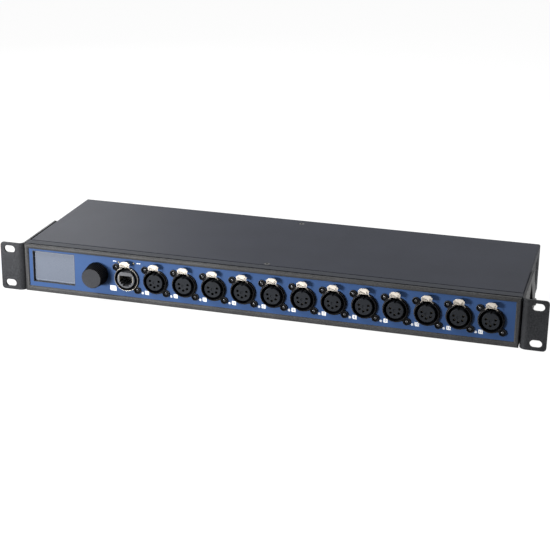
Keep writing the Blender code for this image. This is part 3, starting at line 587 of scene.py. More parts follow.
def rack_slot(z):
    """A slot with round ends, cut through the flange."""
    x, y = slot_length / 2, slot_height / 2
    cutter = solid(prism([(-x, -y), (x, -y), (x, y), (-x, y)], -beyond, beyond, range(4), y - 0.01 * MM, 10))
    cutter.data.transform(Matrix.Translation((slot_x, ear_front_y, z)) @ Matrix.Rotation(math.pi / 2, 4, "X"))
    return cutter


ear = ear_form()
window = solid(prism(cutout_corners, *cutout_span, range(3), cutout_rounding))
window.data.transform(Matrix(((0, 0, 1, 0), (1, 0, 0, 0), (0, 1, 0, 0), (0, 0, 0, 1))))
slots = [rack_slot(unit_height / 2 + side * slot_spacing / 2) for side in (-1, 1)]
carved(ear, "DIFFERENCE", [window, *slots])
form = reopened(ear.data, whole=False)
bpy.data.objects.remove(ear)
soften(form, ear_edge, steps=3)

leg_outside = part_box("right_ear")[0].x + ear_sheet
screw_head = solid(rod(
    ear_screw_radius, 0, ear_screw_height, far_radius=ear_screw_crown, rounding=ear_screw_rounding
))
carved(screw_head, "DIFFERENCE", [solid(rod(ear_screw_hexagon, ear_screw_floor, beyond, sides=6))])


def add_shape(total, shape, place):
    """Adds a closed shape, a bmesh or a mesh, to a piece of several shapes."""
    part = bmesh.new()
    mesh = shape
    if isinstance(shape, bmesh.types.BMesh):
        mesh = bpy.data.meshes.new("shape")
        shape.to_mesh(mesh)
        shape.free()
    part.from_mesh(mesh)
    part.transform(place)
    face_out(part)
    moved = bpy.data.meshes.new("shape")
    part.to_mesh(moved)
    part.free()
    total.from_mesh(moved)


for side, node in ((1, "right_ear"), (-1, "left_ear")):
    flip = Matrix.Scale(side, 4, (1, 0, 0))
    sheet_form = form.copy()
    sheet_form.transform(flip)
    ear = dress(solid(sheet_form), f"{node}_sheet", ear_paint)
    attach(ear, "chassis")
    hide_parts(node)
    heads = bmesh.new()
    for y, z in ear_screw_places:
        place = flip @ Matrix.Translation((leg_outside, y, z)) @ Matrix.Rotation(math.pi / 2, 4, "Y")
        add_shape(heads, screw_head.data, place)
    heads = dress(as_object(heads), f"{node}_screws", screw_black)
    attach(heads, "chassis")
form.free()
bpy.data.objects.remove(screw_head)

# Display: a black moulded surround whose lip lines the window of the plate, and a glass screen deep in it.
# The screen shows nothing. A thin light line runs round its picture.
display_low, display_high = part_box("display_frame")
display_x = (display_low.x + display_high.x) / 2
display_z = (display_low.z + display_high.z) / 2
surround_wall = 1.0 * MM
window_half = Vector(((display_high.x - display_low.x) / 2, (display_high.z - display_low.z) / 2))
window_half -= Vector((1, 1)) * surround_wall
surround_back = face_y - display_high.y
lip = 0.4 * MM
lip_back = -3.0 * MM
lip_front = -0.05 * MM
shoulder = -2.0 * MM
fitting_gap = 0.05 * MM
glass_edge = 0.15 * MM
screen_depth = 2.6 * MM
picture_inset = 1.1 * MM
picture_line = 0.22 * MM
line_height = 0.03 * MM


def at_face(x, z):
    """From the face frame, whose X runs right, Y up and Z out of the front plate, to the model."""
    return Matrix.Translation((x, face_y, z)) @ Matrix.Rotation(math.pi / 2, 4, "X")


def flat_box(half_x, half_y, low, high):
    """A block about the middle of a face frame."""
    return block((-half_x, -half_y, low), (half_x, half_y, high))


outer = window_half + Vector((1, 1)) * surround_wall
surround = solid(flat_box(outer.x, outer.y, surround_back, shoulder))
liner = window_half - Vector((1, 1)) * fitting_gap
carved(surround, "UNION", [solid(flat_box(liner.x, liner.y, lip_back, lip_front))])
carved(surround, "DIFFERENCE", [solid(flat_box(window_half.x - lip, window_half.y - lip, -beyond, beyond))])
surround.data.transform(at_face(display_x, display_z))
dress(surround, "display_surround", moulded_black)
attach(surround, "chassis")
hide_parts("display_frame")

screen_glass = grained(
    "screen_glass", (0.098, 0.116, 0.154),
    roughness=0.3, grain=0.4 * MM, height=0.0, contrast=0.03, specular=0.5,
)
glass_shader = screen_glass.node_tree.nodes["Principled BSDF"]
glass_shader.inputs["Coat Weight"].default_value = 0.25
glass_shader.inputs["Coat Roughness"].default_value = 0.06
half = window_half - Vector((1, 1)) * (lip + fitting_gap)
form = flat_box(half.x, half.y, surround_back, -screen_depth)
soften(form, glass_edge)
screen = solid(form)
screen.data.transform(at_face(display_x, display_z))
dress(screen, "screen", screen_glass)
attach(screen, "chassis")
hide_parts("display_screen")

line_finish = grained(
    "screen_line", (0.20, 0.225, 0.28), roughness=0.4, grain=0.3 * MM, height=0.0, contrast=0.05
)
half = window_half - Vector((1, 1)) * (lip + picture_inset)
edge_line = solid(flat_box(half.x, half.y, -screen_depth, -screen_depth + line_height))
opening = solid(flat_box(half.x - picture_line, half.y - picture_line, -beyond, beyond))
carved(edge_line, "DIFFERENCE", [opening])
edge_line.data.transform(at_face(display_x, display_z))
dress(edge_line, "screen_edge_line", line_finish)
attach(edge_line, "chassis")

# Knob: black moulded plastic with fine flutes round its side, and a flat face painted a lighter grey as
# painted light.
# It is pressed on the encoder's shaft, over the nut, and turns and is pushed with it.
knob_low, knob_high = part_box("encoder_knob")
knob_x = (knob_low.x + knob_high.x) / 2
knob_z = (knob_low.z + knob_high.z) / 2
knob_base_radius = 10.6 * MM
knob_front_radius = 9.1 * MM
knob_lift = face_y - knob_high.y
knob_front = face_y - knob_low.y
nut_hollow_radius = 7.4 * MM
nut_hollow_depth = 4.6 * MM
bore_radius = 3.15 * MM
bore_depth = 11.6 * MM
flute_count = 44
flute_depth = 0.75 * MM
flute_steps = 4
flute_sharpness = 0.7
cap_thickness = 0.12 * MM
cap_taper = 0.1 * MM

knob_black = grained(
    "knob_black", (0.010, 0.010, 0.011),
    roughness=0.5, grain=0.3 * MM, height=0.010 * MM, contrast=0.2, specular=0.05,
)
# The face's lighter grey is painted light: the lit front face set against the shaded black side.
knob_face_painted_lit = grained(
    "knob_face_painted_lit", (0.040, 0.041, 0.045),
    roughness=0.6, grain=0.5 * MM, height=0.02 * MM, contrast=0.35, specular=0.05,
)


def fluted(low_radius, high_radius, low, high):
    """A cone with fine flutes down its side."""
    form = bmesh.new()
    bmesh.ops.create_cone(
        form,
        cap_ends=True,
        segments=flute_count * flute_steps,
        radius1=low_radius,
        radius2=high_radius,
        depth=high - low,
        matrix=Matrix.Translation((0, 0, (high + low) / 2)),
    )
    for vert in form.verts:
        around = math.atan2(vert.co.y, vert.co.x) * flute_count
        reach = vert.co.xy.length
        vert.co.xy *= (reach - flute_depth * (0.5 - 0.5 * math.cos(around)) ** flute_sharpness) / reach
    return form


knob = solid(fluted(knob_base_radius, knob_front_radius, knob_lift, knob_front - cap_thickness))
nut_hollow = solid(rod(nut_hollow_radius, -beyond, nut_hollow_depth))
carved(knob, "DIFFERENCE", [nut_hollow, solid(rod(bore_radius, 0, bore_depth))])
knob.data.transform(at_face(knob_x, knob_z))
dress(knob, "encoder_cap", knob_black, crease=50)
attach(knob, "knob")
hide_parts("encoder_knob")
cap = solid(fluted(
    knob_front_radius, knob_front_radius - cap_taper, knob_front - cap_thickness, knob_front
))
cap.data.transform(at_face(knob_x, knob_z))
dress(cap, "encoder_cap_face", knob_face_painted_lit)
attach(cap, "knob")

# Socket shells: black die-cast bodies with a raised collar, a round flange and two screw lobes on necks.
# Their rounded rims are painted paler, as a painted highlight. The network socket's comes first, then the
# twelve others.
cavity_radius = 9.6 * MM
collar_radius = 10.4 * MM
barrel_radius = 10.3 * MM
barrel_back = -19.0 * MM
collar_height = 2.9 * MM
flange_radius = 11.2 * MM
flange_top = 1.5 * MM
lobe_offset = 9.75 * MM
lobe_radius = 3.2 * MM
neck_width = 5.0 * MM
rim_rounding = 0.3 * MM
lobe_rounding = 0.35 * MM
plate_gap = 0.02 * MM
notch = ((-3.5 * MM, 8.4 * MM, -7.4 * MM), (3.5 * MM, 20 * MM, 20 * MM))
sink_radius = 1.75 * MM
sink_mouth = 2.45 * MM
sink_floor = 0.3 * MM
sink_height = 2.0 * MM
# Pale grey of the painted highlight on the shells' rounded rims, and a weaker share of it on the collar.
painted_rim_highlight = (0.12, 0.12, 0.125, 1.0)
rim_tilt = (0.45, 0.9)
collar_rim_low = 2.4 * MM
collar_rim_highlight_share = 0.6
socket_z = sum(corner.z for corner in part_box("xlr_insert_01")) / 2
network_x = sum(corner.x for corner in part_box("network_jack")) / 2
socket_names = [f"{index:02d}" for index in range(1, 13)]
socket_x = {name: sum(corner.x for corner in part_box(f"xlr_insert_{name}")) / 2 for name in socket_names}

shell_black = grained(
    "shell_black", (0.006, 0.006, 0.007),
    roughness=0.34, grain=0.3 * MM, height=0.008 * MM, contrast=0.2, specular=0.05,
)


def turned(profile, soft=(), radius=0.0, sides=96, steps=3):
    """An outline of (radius, height) pairs, some of its corners rounded, spun about Z."""
    form = bmesh.new()
    verts = [form.verts.new((reach, 0, height)) for reach, height in profile]
    form.faces.new(verts)
    if soft:
        rounded(form, [verts[index] for index in soft], radius, steps, "VERTICES")
    bmesh.ops.delete(form, geom=form.faces[:], context="FACES_ONLY")
    on_axis = [edge for edge in form.edges if all(vert.co.x < touching for vert in edge.verts)]
    bmesh.ops.delete(form, geom=on_axis, context="EDGES")
    bmesh.ops.spin(
        form,
        geom=form.verts[:] + form.edges[:],
        axis=(0, 0, 1),
        cent=(0, 0, 0),
        angle=2 * math.pi,
        steps=sides,
        use_merge=True,
    )
    bmesh.ops.remove_doubles(form, verts=form.verts, dist=touching)
    return form


def ring_section(inside, outside, low, high):
    """The section of a ring, for turned."""
    return ((inside, low), (outside, low), (outside, high), (inside, high))


def shell_form():
    """A shell: collar and barrel, with the flange, the lobes and their necks joined to them."""
    collar_foot = 0.2 * MM
    collar = solid(turned(
        (
            (cavity_radius, barrel_back),
            (barrel_radius, barrel_back),
            (barrel_radius, collar_foot),
            (collar_radius, collar_foot),
            (collar_radius, collar_height),
            (cavity_radius, collar_height),
        ),
        soft=(4, 5),
        radius=rim_rounding,
    ))
    low = plate_gap
    ring_inside = (cavity_radius + barrel_radius) / 2
    flange = ring_section(ring_inside, flange_radius, low, flange_top)
    parts = [solid(turned(flange, soft=(2,), radius=rim_rounding))]
    lobe_top = flange_top - 0.05 * MM
    neck_top = flange_top - 0.1 * MM
    for side in (-1, 1):
        centre = Vector((side * lobe_offset, -side * lobe_offset))
        parts.append(solid(rod(lobe_radius, 2 * low, lobe_top, *centre, rounding=lobe_rounding)))
        neck = block((ring_inside, -neck_width / 2, 3 * low), (centre.length, neck_width / 2, neck_top))
        crests = [
            edge for edge in neck.edges
            if all(vert.co.z > neck_top - touching for vert in edge.verts)
            and abs(edge.verts[0].co.y - edge.verts[1].co.y) < touching
        ]
        rounded(neck, crests, rim_rounding, 3)
        neck.transform(Matrix.Rotation(math.atan2(centre.y, centre.x), 4, "Z"))
        parts.append(solid(neck))
    carved(collar, "UNION", parts)
    cutters = [solid(block(*notch))]
    for side in (-1, 1):
        centre = (side * lobe_offset, -side * lobe_offset)
        cutters.append(solid(rod(sink_radius, sink_floor, sink_height, *centre, far_radius=sink_mouth)))
    return carved(collar, "DIFFERENCE", cutters)


def mark_rims(mesh):
    """Marks the rounded rims of flange, necks, lobes and collar, which are painted paler as a painted
    highlight.
    """
    rims = mesh.attributes.new("rim", "FLOAT", "FACE")
    for polygon in mesh.polygons:
        reach = polygon.center.xy.length
        share = 0.0
        if rim_tilt[0] < polygon.normal.z < rim_tilt[1]:
            if polygon.center.z < flange_top and reach > barrel_radius:
                share = 1.0
            elif polygon.center.z > collar_rim_low and reach > collar_radius - rim_rounding:
                share = collar_rim_highlight_share
        rims.data[polygon.index].value = share


def placed(pattern, place, name, finish, crease=35):
    """A copy of a pattern with its place in its mesh."""
    made = bpy.data.objects.new(name, pattern.data.copy())
    made.data.transform(place)
    bpy.context.scene.collection.objects.link(made)
    return dress(made, name, finish, crease)


def each_socket(network_label, label):
    """A name and the X of every socket: the network socket's, then the twelve others' with their numbers."""
    return [(network_label, network_x), *((f"{label}_{name}", x) for name, x in socket_x.items())]


shell = shell_form()
mark_rims(shell.data)
# The marked rims are mixed towards the pale grey: a painted highlight.
nodes, links = shell_black.node_tree.nodes, shell_black.node_tree.links
coat = nodes["Principled BSDF"].inputs["Base Color"]
rim = nodes.new("ShaderNodeAttribute")
rim.attribute_name = "rim"
rim_highlight_mix = nodes.new("ShaderNodeMix")
rim_highlight_mix.data_type = "RGBA"
rim_highlight_mix.inputs[7].default_value = painted_rim_highlight
links.new(rim.outputs["Fac"], rim_highlight_mix.inputs[0])
links.new(coat.links[0].from_socket, rim_highlight_mix.inputs[6])
links.new(rim_highlight_mix.outputs[2], coat)
for node, x in each_socket("network_shell", "xlr_shell"):
    made = placed(shell, at_face(x, socket_z), f"{node}_casting", shell_black)
    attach(made, "chassis")
    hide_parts(node)
bpy.data.objects.remove(shell)

# Lobe screws: two small dark steel screws with hexagon holes hold each socket to the plate.
# They lie sunk in the lobes, so little more than their edges catches the light.
lobe_screw_radius = 1.35 * MM
lobe_screw_span = (0.32 * MM, 1.0 * MM)
lobe_screw_rounding = 0.45 * MM
lobe_screw_hexagon = 0.8 * MM
lobe_screw_hollow = (0.45 * MM, 3 * MM)

lobe_screw_steel = grained(
    "lobe_screw_steel", (0.085, 0.085, 0.088),
    roughness=0.2, grain=0.2 * MM, height=0.003 * MM, contrast=0.2, metallic=1.0,
)
head = solid(rod(lobe_screw_radius, *lobe_screw_span, rounding=lobe_screw_rounding))
carved(head, "DIFFERENCE", [solid(rod(lobe_screw_hexagon, *lobe_screw_hollow, sides=6))])
lobe_screws = bmesh.new()
for side in (-1, 1):
    add_shape(lobe_screws, head.data, Matrix.Translation((side * lobe_offset, -side * lobe_offset, 0)))
bpy.data.objects.remove(head)
screw_pair = as_object(lobe_screws)
for label, x in each_socket("network", "xlr"):
    made = placed(screw_pair, at_face(x, socket_z), f"{label}_lobe_screws", lobe_screw_steel)
    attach(made, "chassis")
bpy.data.objects.remove(screw_pair)

# Contact blocks: dark grey moulded cores with a key slot at the top, a dimple in the middle and five
# chamfered holes. A gold-plated contact sleeve sits deep in each hole; its gold is painted dark, as painted
# shade.
core_radius = 7.3 * MM
core_face = 3.2 * MM
core_shoulder = -15.5 * MM
core_rounding = 0.35 * MM
foot_radius = 9.3 * MM
dimple_depth = 0.5 * MM
face_step = 0.1 * MM
hole_floor = core_face - 8 * MM
hole_chamfer = (0.3 * MM, 0.4 * MM)
key_slot = ((-0.8 * MM, 6.5 * MM, hole_floor), (0.8 * MM, beyond, beyond))
sleeve_bore = 0.5 * MM
sleeve_radius = 0.85 * MM
sleeve_rounding = 0.12 * MM
sleeve_span = (core_face - 7.9 * MM, core_face - 3.4 * MM)
contact_circle = 4.2 * MM
contact_radius = 1.05 * MM
contact_count = 5
contact_spread = math.radians(54)

insert_grey = grained(
    "insert_grey", (0.021, 0.023, 0.027),
    roughness=0.40, grain=0.4 * MM, height=0.010 * MM, contrast=0.18, specular=0.06,
)
# The gold is painted far darker than plating: painted shade deep in the holes and under the port's roof.
contact_gold_painted_dark = grained(
    "contact_gold_painted_dark", (0.24, 0.20, 0.14),
    roughness=0.28, grain=0.2 * MM, height=0.002 * MM, contrast=0.1, metallic=1.0,
)
contact_places = []
for index in range(contact_count):
    angle = -math.pi / 2 + (index - contact_count // 2) * contact_spread
    contact_places.append((contact_circle * math.cos(angle), contact_circle * math.sin(angle)))
core = solid(turned(
    (
        (0, core_face - dimple_depth),
        (1.2 * MM, core_face - dimple_depth),
        (1.5 * MM, core_face - face_step),
        (6.5 * MM, core_face - face_step),
        (6.6 * MM, core_face),
        (core_radius, core_face),
        (core_radius, core_shoulder),
        (foot_radius, core_shoulder),
        (foot_radius, barrel_back),
        (0, barrel_back),
    ),
    soft=(5,),
    radius=core_rounding,
))
cutters = [solid(block(*key_slot))]
widening, chamfer_height = hole_chamfer
for place in contact_places:
    cutters.append(solid(rod(contact_radius, hole_floor, beyond, *place, sides=24)))
    wide = contact_radius + widening
    cutters.append(solid(rod(
        contact_radius, core_face - chamfer_height, core_face, *place, sides=24, far_radius=wide
    )))
carved(core, "DIFFERENCE", cutters)
sleeve_section = ring_section(sleeve_bore, sleeve_radius, *sleeve_span)
sleeve = solid(turned(sleeve_section, soft=(2, 3), radius=sleeve_rounding, sides=20, steps=2))
sleeves = bmesh.new()
for place in contact_places:
    add_shape(sleeves, sleeve.data, Matrix.Translation((*place, 0)))
bpy.data.objects.remove(sleeve)
sleeve_ring = as_object(sleeves)
for name, x in socket_x.items():
    made = placed(core, at_face(x, socket_z), f"xlr_block_{name}", insert_grey)
    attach(made, "chassis")
    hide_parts(f"xlr_insert_{name}")
    made = placed(sleeve_ring, at_face(x, socket_z), f"xlr_contacts_{name}", contact_gold_painted_dark)
    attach(made, "chassis")
bpy.data.objects.remove(core)
bpy.data.objects.remove(sleeve_ring)

# Latches: cast nickel levers that rock on an axle behind the plate, blasted to a pale satin.
# Each has a crowned rounded pad to press, two short prongs along the collar, and a nose that holds the plug.
pad_lean = math.radians(14)
pad_foot_y = 12.2 * MM
pad_front = 6.3 * MM
pad_thickness = 1.2 * MM
pad_rounding = 0.7 * MM
crown = ((0.15, 0.1), (0.2, 0.08), (0.3, 0.05), (0.6, 0.05), (0.7, 0.03))
lever_half_width = 3.0 * MM
lever_back = -6.0 * MM
lever_low = 8.9 * MM
lever_high = 9.9 * MM
nose_corners = ((-1.5 * MM, 8.0 * MM, -6.0 * MM), (1.5 * MM, 9.6 * MM, -4.6 * MM))
nose_edge = 0.25 * MM
prong_radius = 0.28 * MM
prong_line = ((3.4, 12.5, 5.5), (3.8, 11.9, 5.2), (4.3, 11.2, 4.8), (4.8, 10.6, 4.4), (5.2, 10.2, 4.1))

latch_nickel = grained(
    "latch_nickel", (0.39, 0.36, 0.32),
    roughness=0.62, grain=0.38 * MM, height=0.035 * MM, contrast=0.4, metallic=1.0,
)
right_side = [
    (3.4 * MM, 0.0),
    (4.0 * MM, 1.1 * MM),
    (4.15 * MM, 2.5 * MM),
    (3.75 * MM, 3.9 * MM),
    (2.3 * MM, 4.75 * MM),
]
outline = right_side + [(-x, y) for x, y in reversed(right_side)]
form = prism(outline, -pad_thickness, 0, range(1, len(outline) - 1), pad_rounding, 3)
front = max(form.faces, key=lambda item: item.calc_center_median().z)
for inward, outward in crown:
    bmesh.ops.inset_region(form, faces=[front], thickness=inward * MM, depth=outward * MM)
form.transform(
    Matrix.Translation((0, pad_foot_y, pad_front - 0.3 * MM)) @ Matrix.Rotation(-pad_lean, 4, "X")
)
latch = solid(form)
side_view = [
    (lever_back, lever_low),
    (4.6 * MM, lever_low),
    (pad_front - 0.5 * MM, pad_foot_y + 0.6 * MM),
    (pad_front - pad_thickness, pad_foot_y + 1.2 * MM),
    (3.6 * MM, lever_high),
    (lever_back, lever_high),
]
lever = prism(side_view, -lever_half_width, lever_half_width)
lever.transform(Matrix.Rotation(-math.pi / 2, 4, "Y"))
face_out(lever)
soften(lever, sheet_edge)
nose = block(*nose_corners)
soften(nose, nose_edge)
carved(latch, "UNION", [solid(lever), solid(nose)])
form = bmesh.new()
add_shape(form, latch.data, Matrix.Identity(4))
bpy.data.objects.remove(latch)
for side in (-1, 1):
    bend = bpy.data.curves.new("prong", "CURVE")
    bend.dimensions = "3D"
    bend.bevel_depth = prong_radius
    bend.bevel_resolution = 3
    bend.use_fill_caps = True
    line = bend.splines.new("NURBS")
    line.points.add(len(prong_line) - 1)
    for point, (x, y, z) in zip(line.points, prong_line):
        point.co = (side * x * MM, y * MM, z * MM, 1.0)
    line.use_endpoint_u = True
    wire = bpy.data.objects.new("prong", bend)
    bpy.context.scene.collection.objects.link(wire)
    graph = bpy.context.evaluated_depsgraph_get()
    prong = bmesh.new()
    prong.from_mesh(bpy.data.meshes.new_from_object(wire.evaluated_get(graph)))
    bmesh.ops.remove_doubles(prong, verts=prong.verts, dist=near)
    add_shape(form, prong, Matrix.Identity(4))
    bpy.data.objects.remove(wire)
latch = as_object(form)
for label, x in each_socket("network_latch", "xlr_latch"):
    made = placed(latch, at_face(x, socket_z), f"{label}_lever", latch_nickel)
    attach(made, label)
    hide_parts(label)
bpy.data.objects.remove(latch)

# Network socket: in the first shell, a pale plated ring round the collar and a grey jack with a stepped
# port. Bright shield plates line both sides of the port, and eight gilt contact wires lie under its roof.
ring_radii = (10.45 * MM, 10.85 * MM)
ring_rounding = 0.18 * MM
ring_span = (flange_top + plate_gap, 2.35 * MM)
jack_radius = 8.0 * MM
jack_flat = 6.6 * MM
jack_rounding = 0.4 * MM
port_depth = 14 * MM
shield_span = (6.05 * MM, 6.38 * MM)
shield_low = -2.5 * MM
shield_high = 3.0 * MM
shield_depth = 9 * MM
shield_edge = 0.08 * MM
wire_count = 8
wire_pitch = 1.02 * MM
wire_half = 0.18 * MM
wire_low = 2.0 * MM
wire_high = 2.3 * MM
wire_front = 6.5 * MM
wire_bend = 11 * MM
wire_back = 12.5 * MM
wire_drop = 2.0 * MM

ring_nickel = grained(
    "ring_nickel", (0.56, 0.52, 0.44),
    roughness=0.30, grain=0.3 * MM, height=0.004 * MM, contrast=0.08, metallic=1.0,
)
ring = solid(turned(ring_section(*ring_radii, *ring_span), soft=(2, 3), radius=ring_rounding))
carved(ring, "DIFFERENCE", [solid(block(*notch))])
ring.data.transform(at_face(network_x, socket_z))
dress(ring, "network_collar_ring", ring_nickel)
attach(ring, "chassis")
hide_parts("network_ring")

jack_grey = grained(
    "jack_grey", (0.060, 0.063, 0.072), roughness=0.45, grain=0.35 * MM, height=0.008 * MM, contrast=0.15
)
port_steps = (
    (12.8 * MM, -2.7 * MM, 3.3 * MM),
    (9.6 * MM, -4.6 * MM, 3.0 * MM),
    (5.6 * MM, -6.3 * MM, 3.0 * MM),
)


def port_cutters(mouth, deep):
    """The stepped opening for an eight-contact plug: three blocks of (width, bottom, top)."""
    cutters = []
    for width, bottom, top in port_steps:
        cutters.append(solid(block((-width / 2, bottom, mouth - deep), (width / 2, top, mouth + beyond))))
    return cutters


jack = solid(turned(
    (
        (0, core_face),
        (jack_radius, core_face),
        (jack_radius, core_shoulder),
        (foot_radius, core_shoulder),
        (foot_radius, barrel_back),
        (0, barrel_back),
    ),
    soft=(1,),
    radius=jack_rounding,
))
carved(jack, "DIFFERENCE", [solid(block((-beyond, jack_flat, core_shoulder), (beyond, beyond, beyond)))])
carved(jack, "DIFFERENCE", port_cutters(core_face, port_depth))
jack.data.transform(at_face(network_x, socket_z))
dress(jack, "network_jack_block", jack_grey)
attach(jack, "chassis")
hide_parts("network_jack")


def port_metal(mouth, place, label, plate_proud):
    """Shield plates at both sides of a port, and the eight wires under its roof."""
    plates = bmesh.new()
    for side in (-1, 1):
        ends = sorted(side * end for end in shield_span)
        plate = block(
            (ends[0], shield_low, mouth - shield_depth),
            (ends[1], shield_high, mouth + plate_proud),
        )
        soften(plate, shield_edge)
        add_shape(plates, plate, place)
    made = as_object(plates)
    dress(made, f"{label}_shield_plates", ring_nickel)
    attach(made, "chassis")
    wires = bmesh.new()
    for index in range(wire_count):
        x = (index - (wire_count - 1) / 2) * wire_pitch
        wire = block(
            (x - wire_half, wire_low, mouth - wire_back),
            (x + wire_half, wire_high, mouth - wire_front),
        )
        for vert in wire.verts:
            if vert.co.z < mouth - wire_bend:
                vert.co.y -= wire_drop
        add_shape(wires, wire, place)
    made = as_object(wires)
    dress(made, f"{label}_wires", contact_gold_painted_dark)
    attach(made, "chassis")


port_metal(core_face, at_face(network_x, socket_z), "network", 0.05 * MM)

# Marks and lights: two pin lights with dashes above the network socket, a white mark under it, and for
# each other socket a small round light and a leaf-shaped mark with its plain port number.
mark_white = grained(
    "mark_white", (0.86, 0.87, 0.88), roughness=0.5, grain=0.5 * MM, height=0.002 * MM, contrast=0.03
)
lens_white = grained(
    "lens_white", (0.60, 0.63, 0.69), roughness=0.3, grain=0.8 * MM, height=0.0, contrast=0.05
)
pin_lens = grained(
    "pin_lens", (0.42, 0.36, 0.26), roughness=0.25, grain=0.5 * MM, height=0.0, contrast=0.1
)
mark_height = 0.05 * MM
dash_height = 0.75 * MM
dash_rise = 14.5 * MM
dashes = ((-134.9, 1.7), (-132.9, 1.0), (-112.9, 1.6), (-110.9, 1.3))
network_leaf = (5.9 * MM, 4.7 * MM, 1.4 * MM)
network_leaf_x = -138.15 * MM
network_leaf_drop = 12.65 * MM
socket_leaf = (3.7 * MM, 3.6 * MM, 1.0 * MM)
socket_leaf_offset = (9.95 * MM, 13.1 * MM)
lens_radius = 1.15 * MM
lens_span = (-0.2 * MM, 0.25 * MM)
lens_rounding = 0.2 * MM
lens_offset = (12.0 * MM, 11.9 * MM)
number_size = 3.0 * MM
number_height = 0.02 * MM
number_offset = (8.1 * MM, 11.3 * MM)
pin_radius = 0.68 * MM
pin_span = (-0.2 * MM, 0.3 * MM)
pin_rounding = 0.3 * MM
pin_rim_radii = (0.7 * MM, 1.15 * MM)
pin_rim_span = (-0.2 * MM, 0.15 * MM)
pin_rim_rounding = 0.1 * MM
pin_lights = ((-129.7, 14.2), (-115.8, 14.4))


def leaf(width, height, radius):
    """A mark with two sharp and two rounded corners."""
    outline = [(0, 0), (width, 0), (width, height), (0, height)]
    return prism(outline, 0.0, mark_height, (0, 2), radius, 5)


def beside(x, left, down):
    """A place on the plate, to the left of a socket's middle and down from it."""
    return at_face(x - left, socket_z - down)


marks = bmesh.new()
add_shape(marks, leaf(*network_leaf), at_face(network_leaf_x, socket_z - network_leaf_drop))
for x, width in dashes:
    form = block((0, 0, 0), (width * MM, dash_height, mark_height))
    add_shape(marks, form, at_face(x * MM, socket_z + dash_rise))
lights = bmesh.new()
numbers = bmesh.new()
for name, x in socket_x.items():
    add_shape(marks, leaf(*socket_leaf), beside(x, *socket_leaf_offset))
    lens = rod(lens_radius, *lens_span, sides=24, rounding=lens_rounding)
    add_shape(lights, lens, beside(x, *lens_offset))
    letters = bpy.data.curves.new("number", "FONT")
    letters.body = str(int(name))
    letters.size = number_size
    letters.align_x = "CENTER"
    letters.align_y = "CENTER"
    letters.extrude = number_height
    sign = bpy.data.objects.new("number", letters)
    bpy.context.scene.collection.objects.link(sign)
    graph = bpy.context.evaluated_depsgraph_get()
    numeral = bmesh.new()
    numeral.from_mesh(bpy.data.meshes.new_from_object(sign.evaluated_get(graph)))
    bmesh.ops.remove_doubles(numeral, verts=numeral.verts, dist=near)
    raised = Matrix.Translation((0, 0, mark_height + number_height))
    add_shape(numbers, numeral, beside(x, *number_offset) @ raised)
    bpy.data.objects.remove(sign)
for label, form, finish in (
    ("printed_marks", marks, mark_white),
    ("port_lights", lights, lens_white),
    ("port_numbers", numbers, panel_blue),
):
    made = dress(as_object(form), label, finish)
    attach(made, "chassis")

pins = bmesh.new()
sockets = bmesh.new()
pin_rim = ring_section(*pin_rim_radii, *pin_rim_span)
for x, rise in pin_lights:
    place = at_face(x * MM, socket_z + rise * MM)
    add_shape(sockets, turned(pin_rim, soft=(2,), radius=pin_rim_rounding, sides=24), place)
    add_shape(pins, rod(pin_radius, *pin_span, sides=20, rounding=pin_rounding), place)
for label, form, finish in (("pin_light_rims", sockets, moulded_black), ("pin_lights", pins, pin_lens)):
    made = dress(as_object(form), label, finish)
    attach(made, "chassis")

# Back: a three-blade appliance inlet that snaps into the tray's back wall, and a network jack whose flange
# is held by two screws. Both are moulded in black, and the inlet's blades are bright metal.
inlet_black = grained(
    "inlet_black", (0.015, 0.015, 0.016), roughness=0.48, grain=0.35 * MM, height=0.010 * MM, contrast=0.2
)
flange_thickness = 2.3 * MM
inlet_low, inlet_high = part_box("mains_inlet")
inlet_x = (inlet_low.x + inlet_high.x) / 2
inlet_z = (inlet_low.z + inlet_high.z) / 2
back_y = inlet_high.y - flange_thickness
inlet_half = (15.95 * MM, 12.05 * MM)
inlet_corner = 2.0 * MM
inlet_edge = 0.4 * MM
housing_half = (13.95 * MM, 10.05 * MM)
housing_span = (-20.0 * MM, 1.0 * MM)
housing_corner = 1.0 * MM
mouth_half = (12.2 * MM, 8.3 * MM)
mouth_floor = -13.7 * MM
mouth_chamfer = 3.5 * MM
blade_half = (1.0, 2.0)
blade_span = (-14.0 * MM, -2.7 * MM)
blade_edge = 0.3 * MM
blade_places = ((-7.0, -2.0), (0.0, 2.0), (7.0, -2.0))


def at_back(x, z):
    """From a frame whose Z runs out of the back wall to the model."""
    turn = Matrix.Rotation(math.pi, 4, "Z") @ Matrix.Rotation(math.pi / 2, 4, "X")
    return Matrix.Translation((x, back_y, z)) @ turn


def upright_edges(form):
    """The edges of a box that stand on the wall."""
    return [edge for edge in form.edges if abs(edge.verts[0].co.z - edge.verts[1].co.z) > near]


form = flat_box(*inlet_half, plate_gap, flange_thickness)
rounded(form, upright_edges(form), inlet_corner, 5)
soften(form, inlet_edge)
inlet = solid(form)
form = flat_box(*housing_half, *housing_span)
rounded(form, upright_edges(form), housing_corner, 3)
carved(inlet, "UNION", [solid(form)])
form = flat_box(*mouth_half, mouth_floor, beyond)
upper = [edge for edge in upright_edges(form) if edge.verts[0].co.y > 0]
rounded(form, upper, mouth_chamfer, 1)
carved(inlet, "DIFFERENCE", [solid(form)])
inlet.data.transform(at_back(inlet_x, inlet_z))
dress(inlet, "inlet_housing", inlet_black)
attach(inlet, "chassis")
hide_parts("mains_inlet")

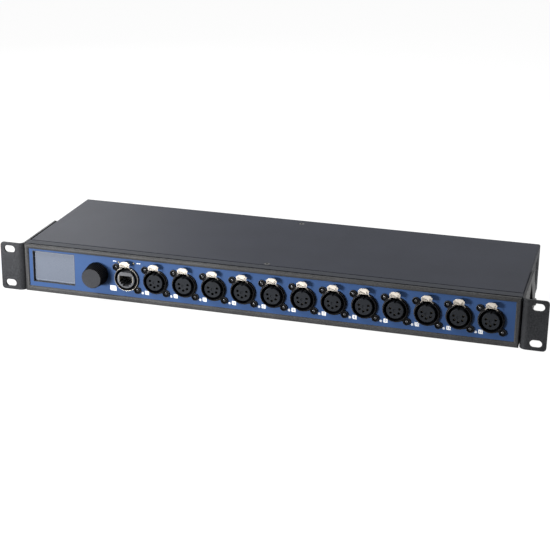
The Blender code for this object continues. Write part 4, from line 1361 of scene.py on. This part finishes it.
blades = bmesh.new()
for x, y in blade_places:
    blade = block(
        ((x - blade_half[0]) * MM, (y - blade_half[1]) * MM, blade_span[0]),
        ((x + blade_half[0]) * MM, (y + blade_half[1]) * MM, blade_span[1]),
    )
    soften(blade, blade_edge)
    add_shape(blades, blade, at_back(inlet_x, inlet_z))
blades = dress(as_object(blades), "inlet_blades", bright_steel)
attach(blades, "chassis")

jack_low, jack_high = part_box("rear_network_jack")
jack_x = (jack_low.x + jack_high.x) / 2
jack_half = (13.0 * MM, 15.5 * MM)
jack_corner = 3.0 * MM
jack_edge = 0.35 * MM
jack_barrel_radius = 11.6 * MM
jack_barrel_back = -18 * MM
boss_radius = 11.0 * MM
boss_foot = 1.0 * MM
boss_top = 2.9 * MM
boss_rounding = 0.4 * MM
rear_port_depth = 14.6 * MM
form = flat_box(*jack_half, plate_gap, flange_thickness)
rounded(form, upright_edges(form), jack_corner, 6)
soften(form, jack_edge)
jack = solid(form)
barrel = solid(rod(jack_barrel_radius, jack_barrel_back, boss_foot, sides=72))
boss = solid(rod(boss_radius, boss_foot, boss_top, sides=72, rounding=boss_rounding))
carved(jack, "UNION", [barrel, boss])
carved(jack, "DIFFERENCE", port_cutters(boss_top, rear_port_depth))
jack.data.transform(at_back(jack_x, socket_z))
dress(jack, "rear_jack_housing", inlet_black)
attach(jack, "chassis")
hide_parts("rear_network_jack")
port_metal(boss_top, at_back(jack_x, socket_z), "rear_network", 0.02 * MM)

back_screw_radius = 2.1 * MM
back_screw_crown = 1.8 * MM
back_screw_span = (2.25 * MM, 3.3 * MM)
back_screw_rounding = 0.45 * MM
back_screw_hexagon = 0.9 * MM
back_screw_floor = 2.6 * MM
back_screw_offset = (9.6 * MM, 12.2 * MM)
head = solid(rod(
    back_screw_radius, *back_screw_span, far_radius=back_screw_crown, rounding=back_screw_rounding, sides=32
))
carved(head, "DIFFERENCE", [solid(rod(back_screw_hexagon, back_screw_floor, beyond, sides=6))])
back_screws = bmesh.new()
for side in (-1, 1):
    corner = Matrix.Translation((side * back_screw_offset[0], -side * back_screw_offset[1], 0))
    add_shape(back_screws, head.data, at_back(jack_x, socket_z) @ corner)
bpy.data.objects.remove(head)
back_screws = dress(as_object(back_screws), "back_screws", screw_black)
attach(back_screws, "chassis")
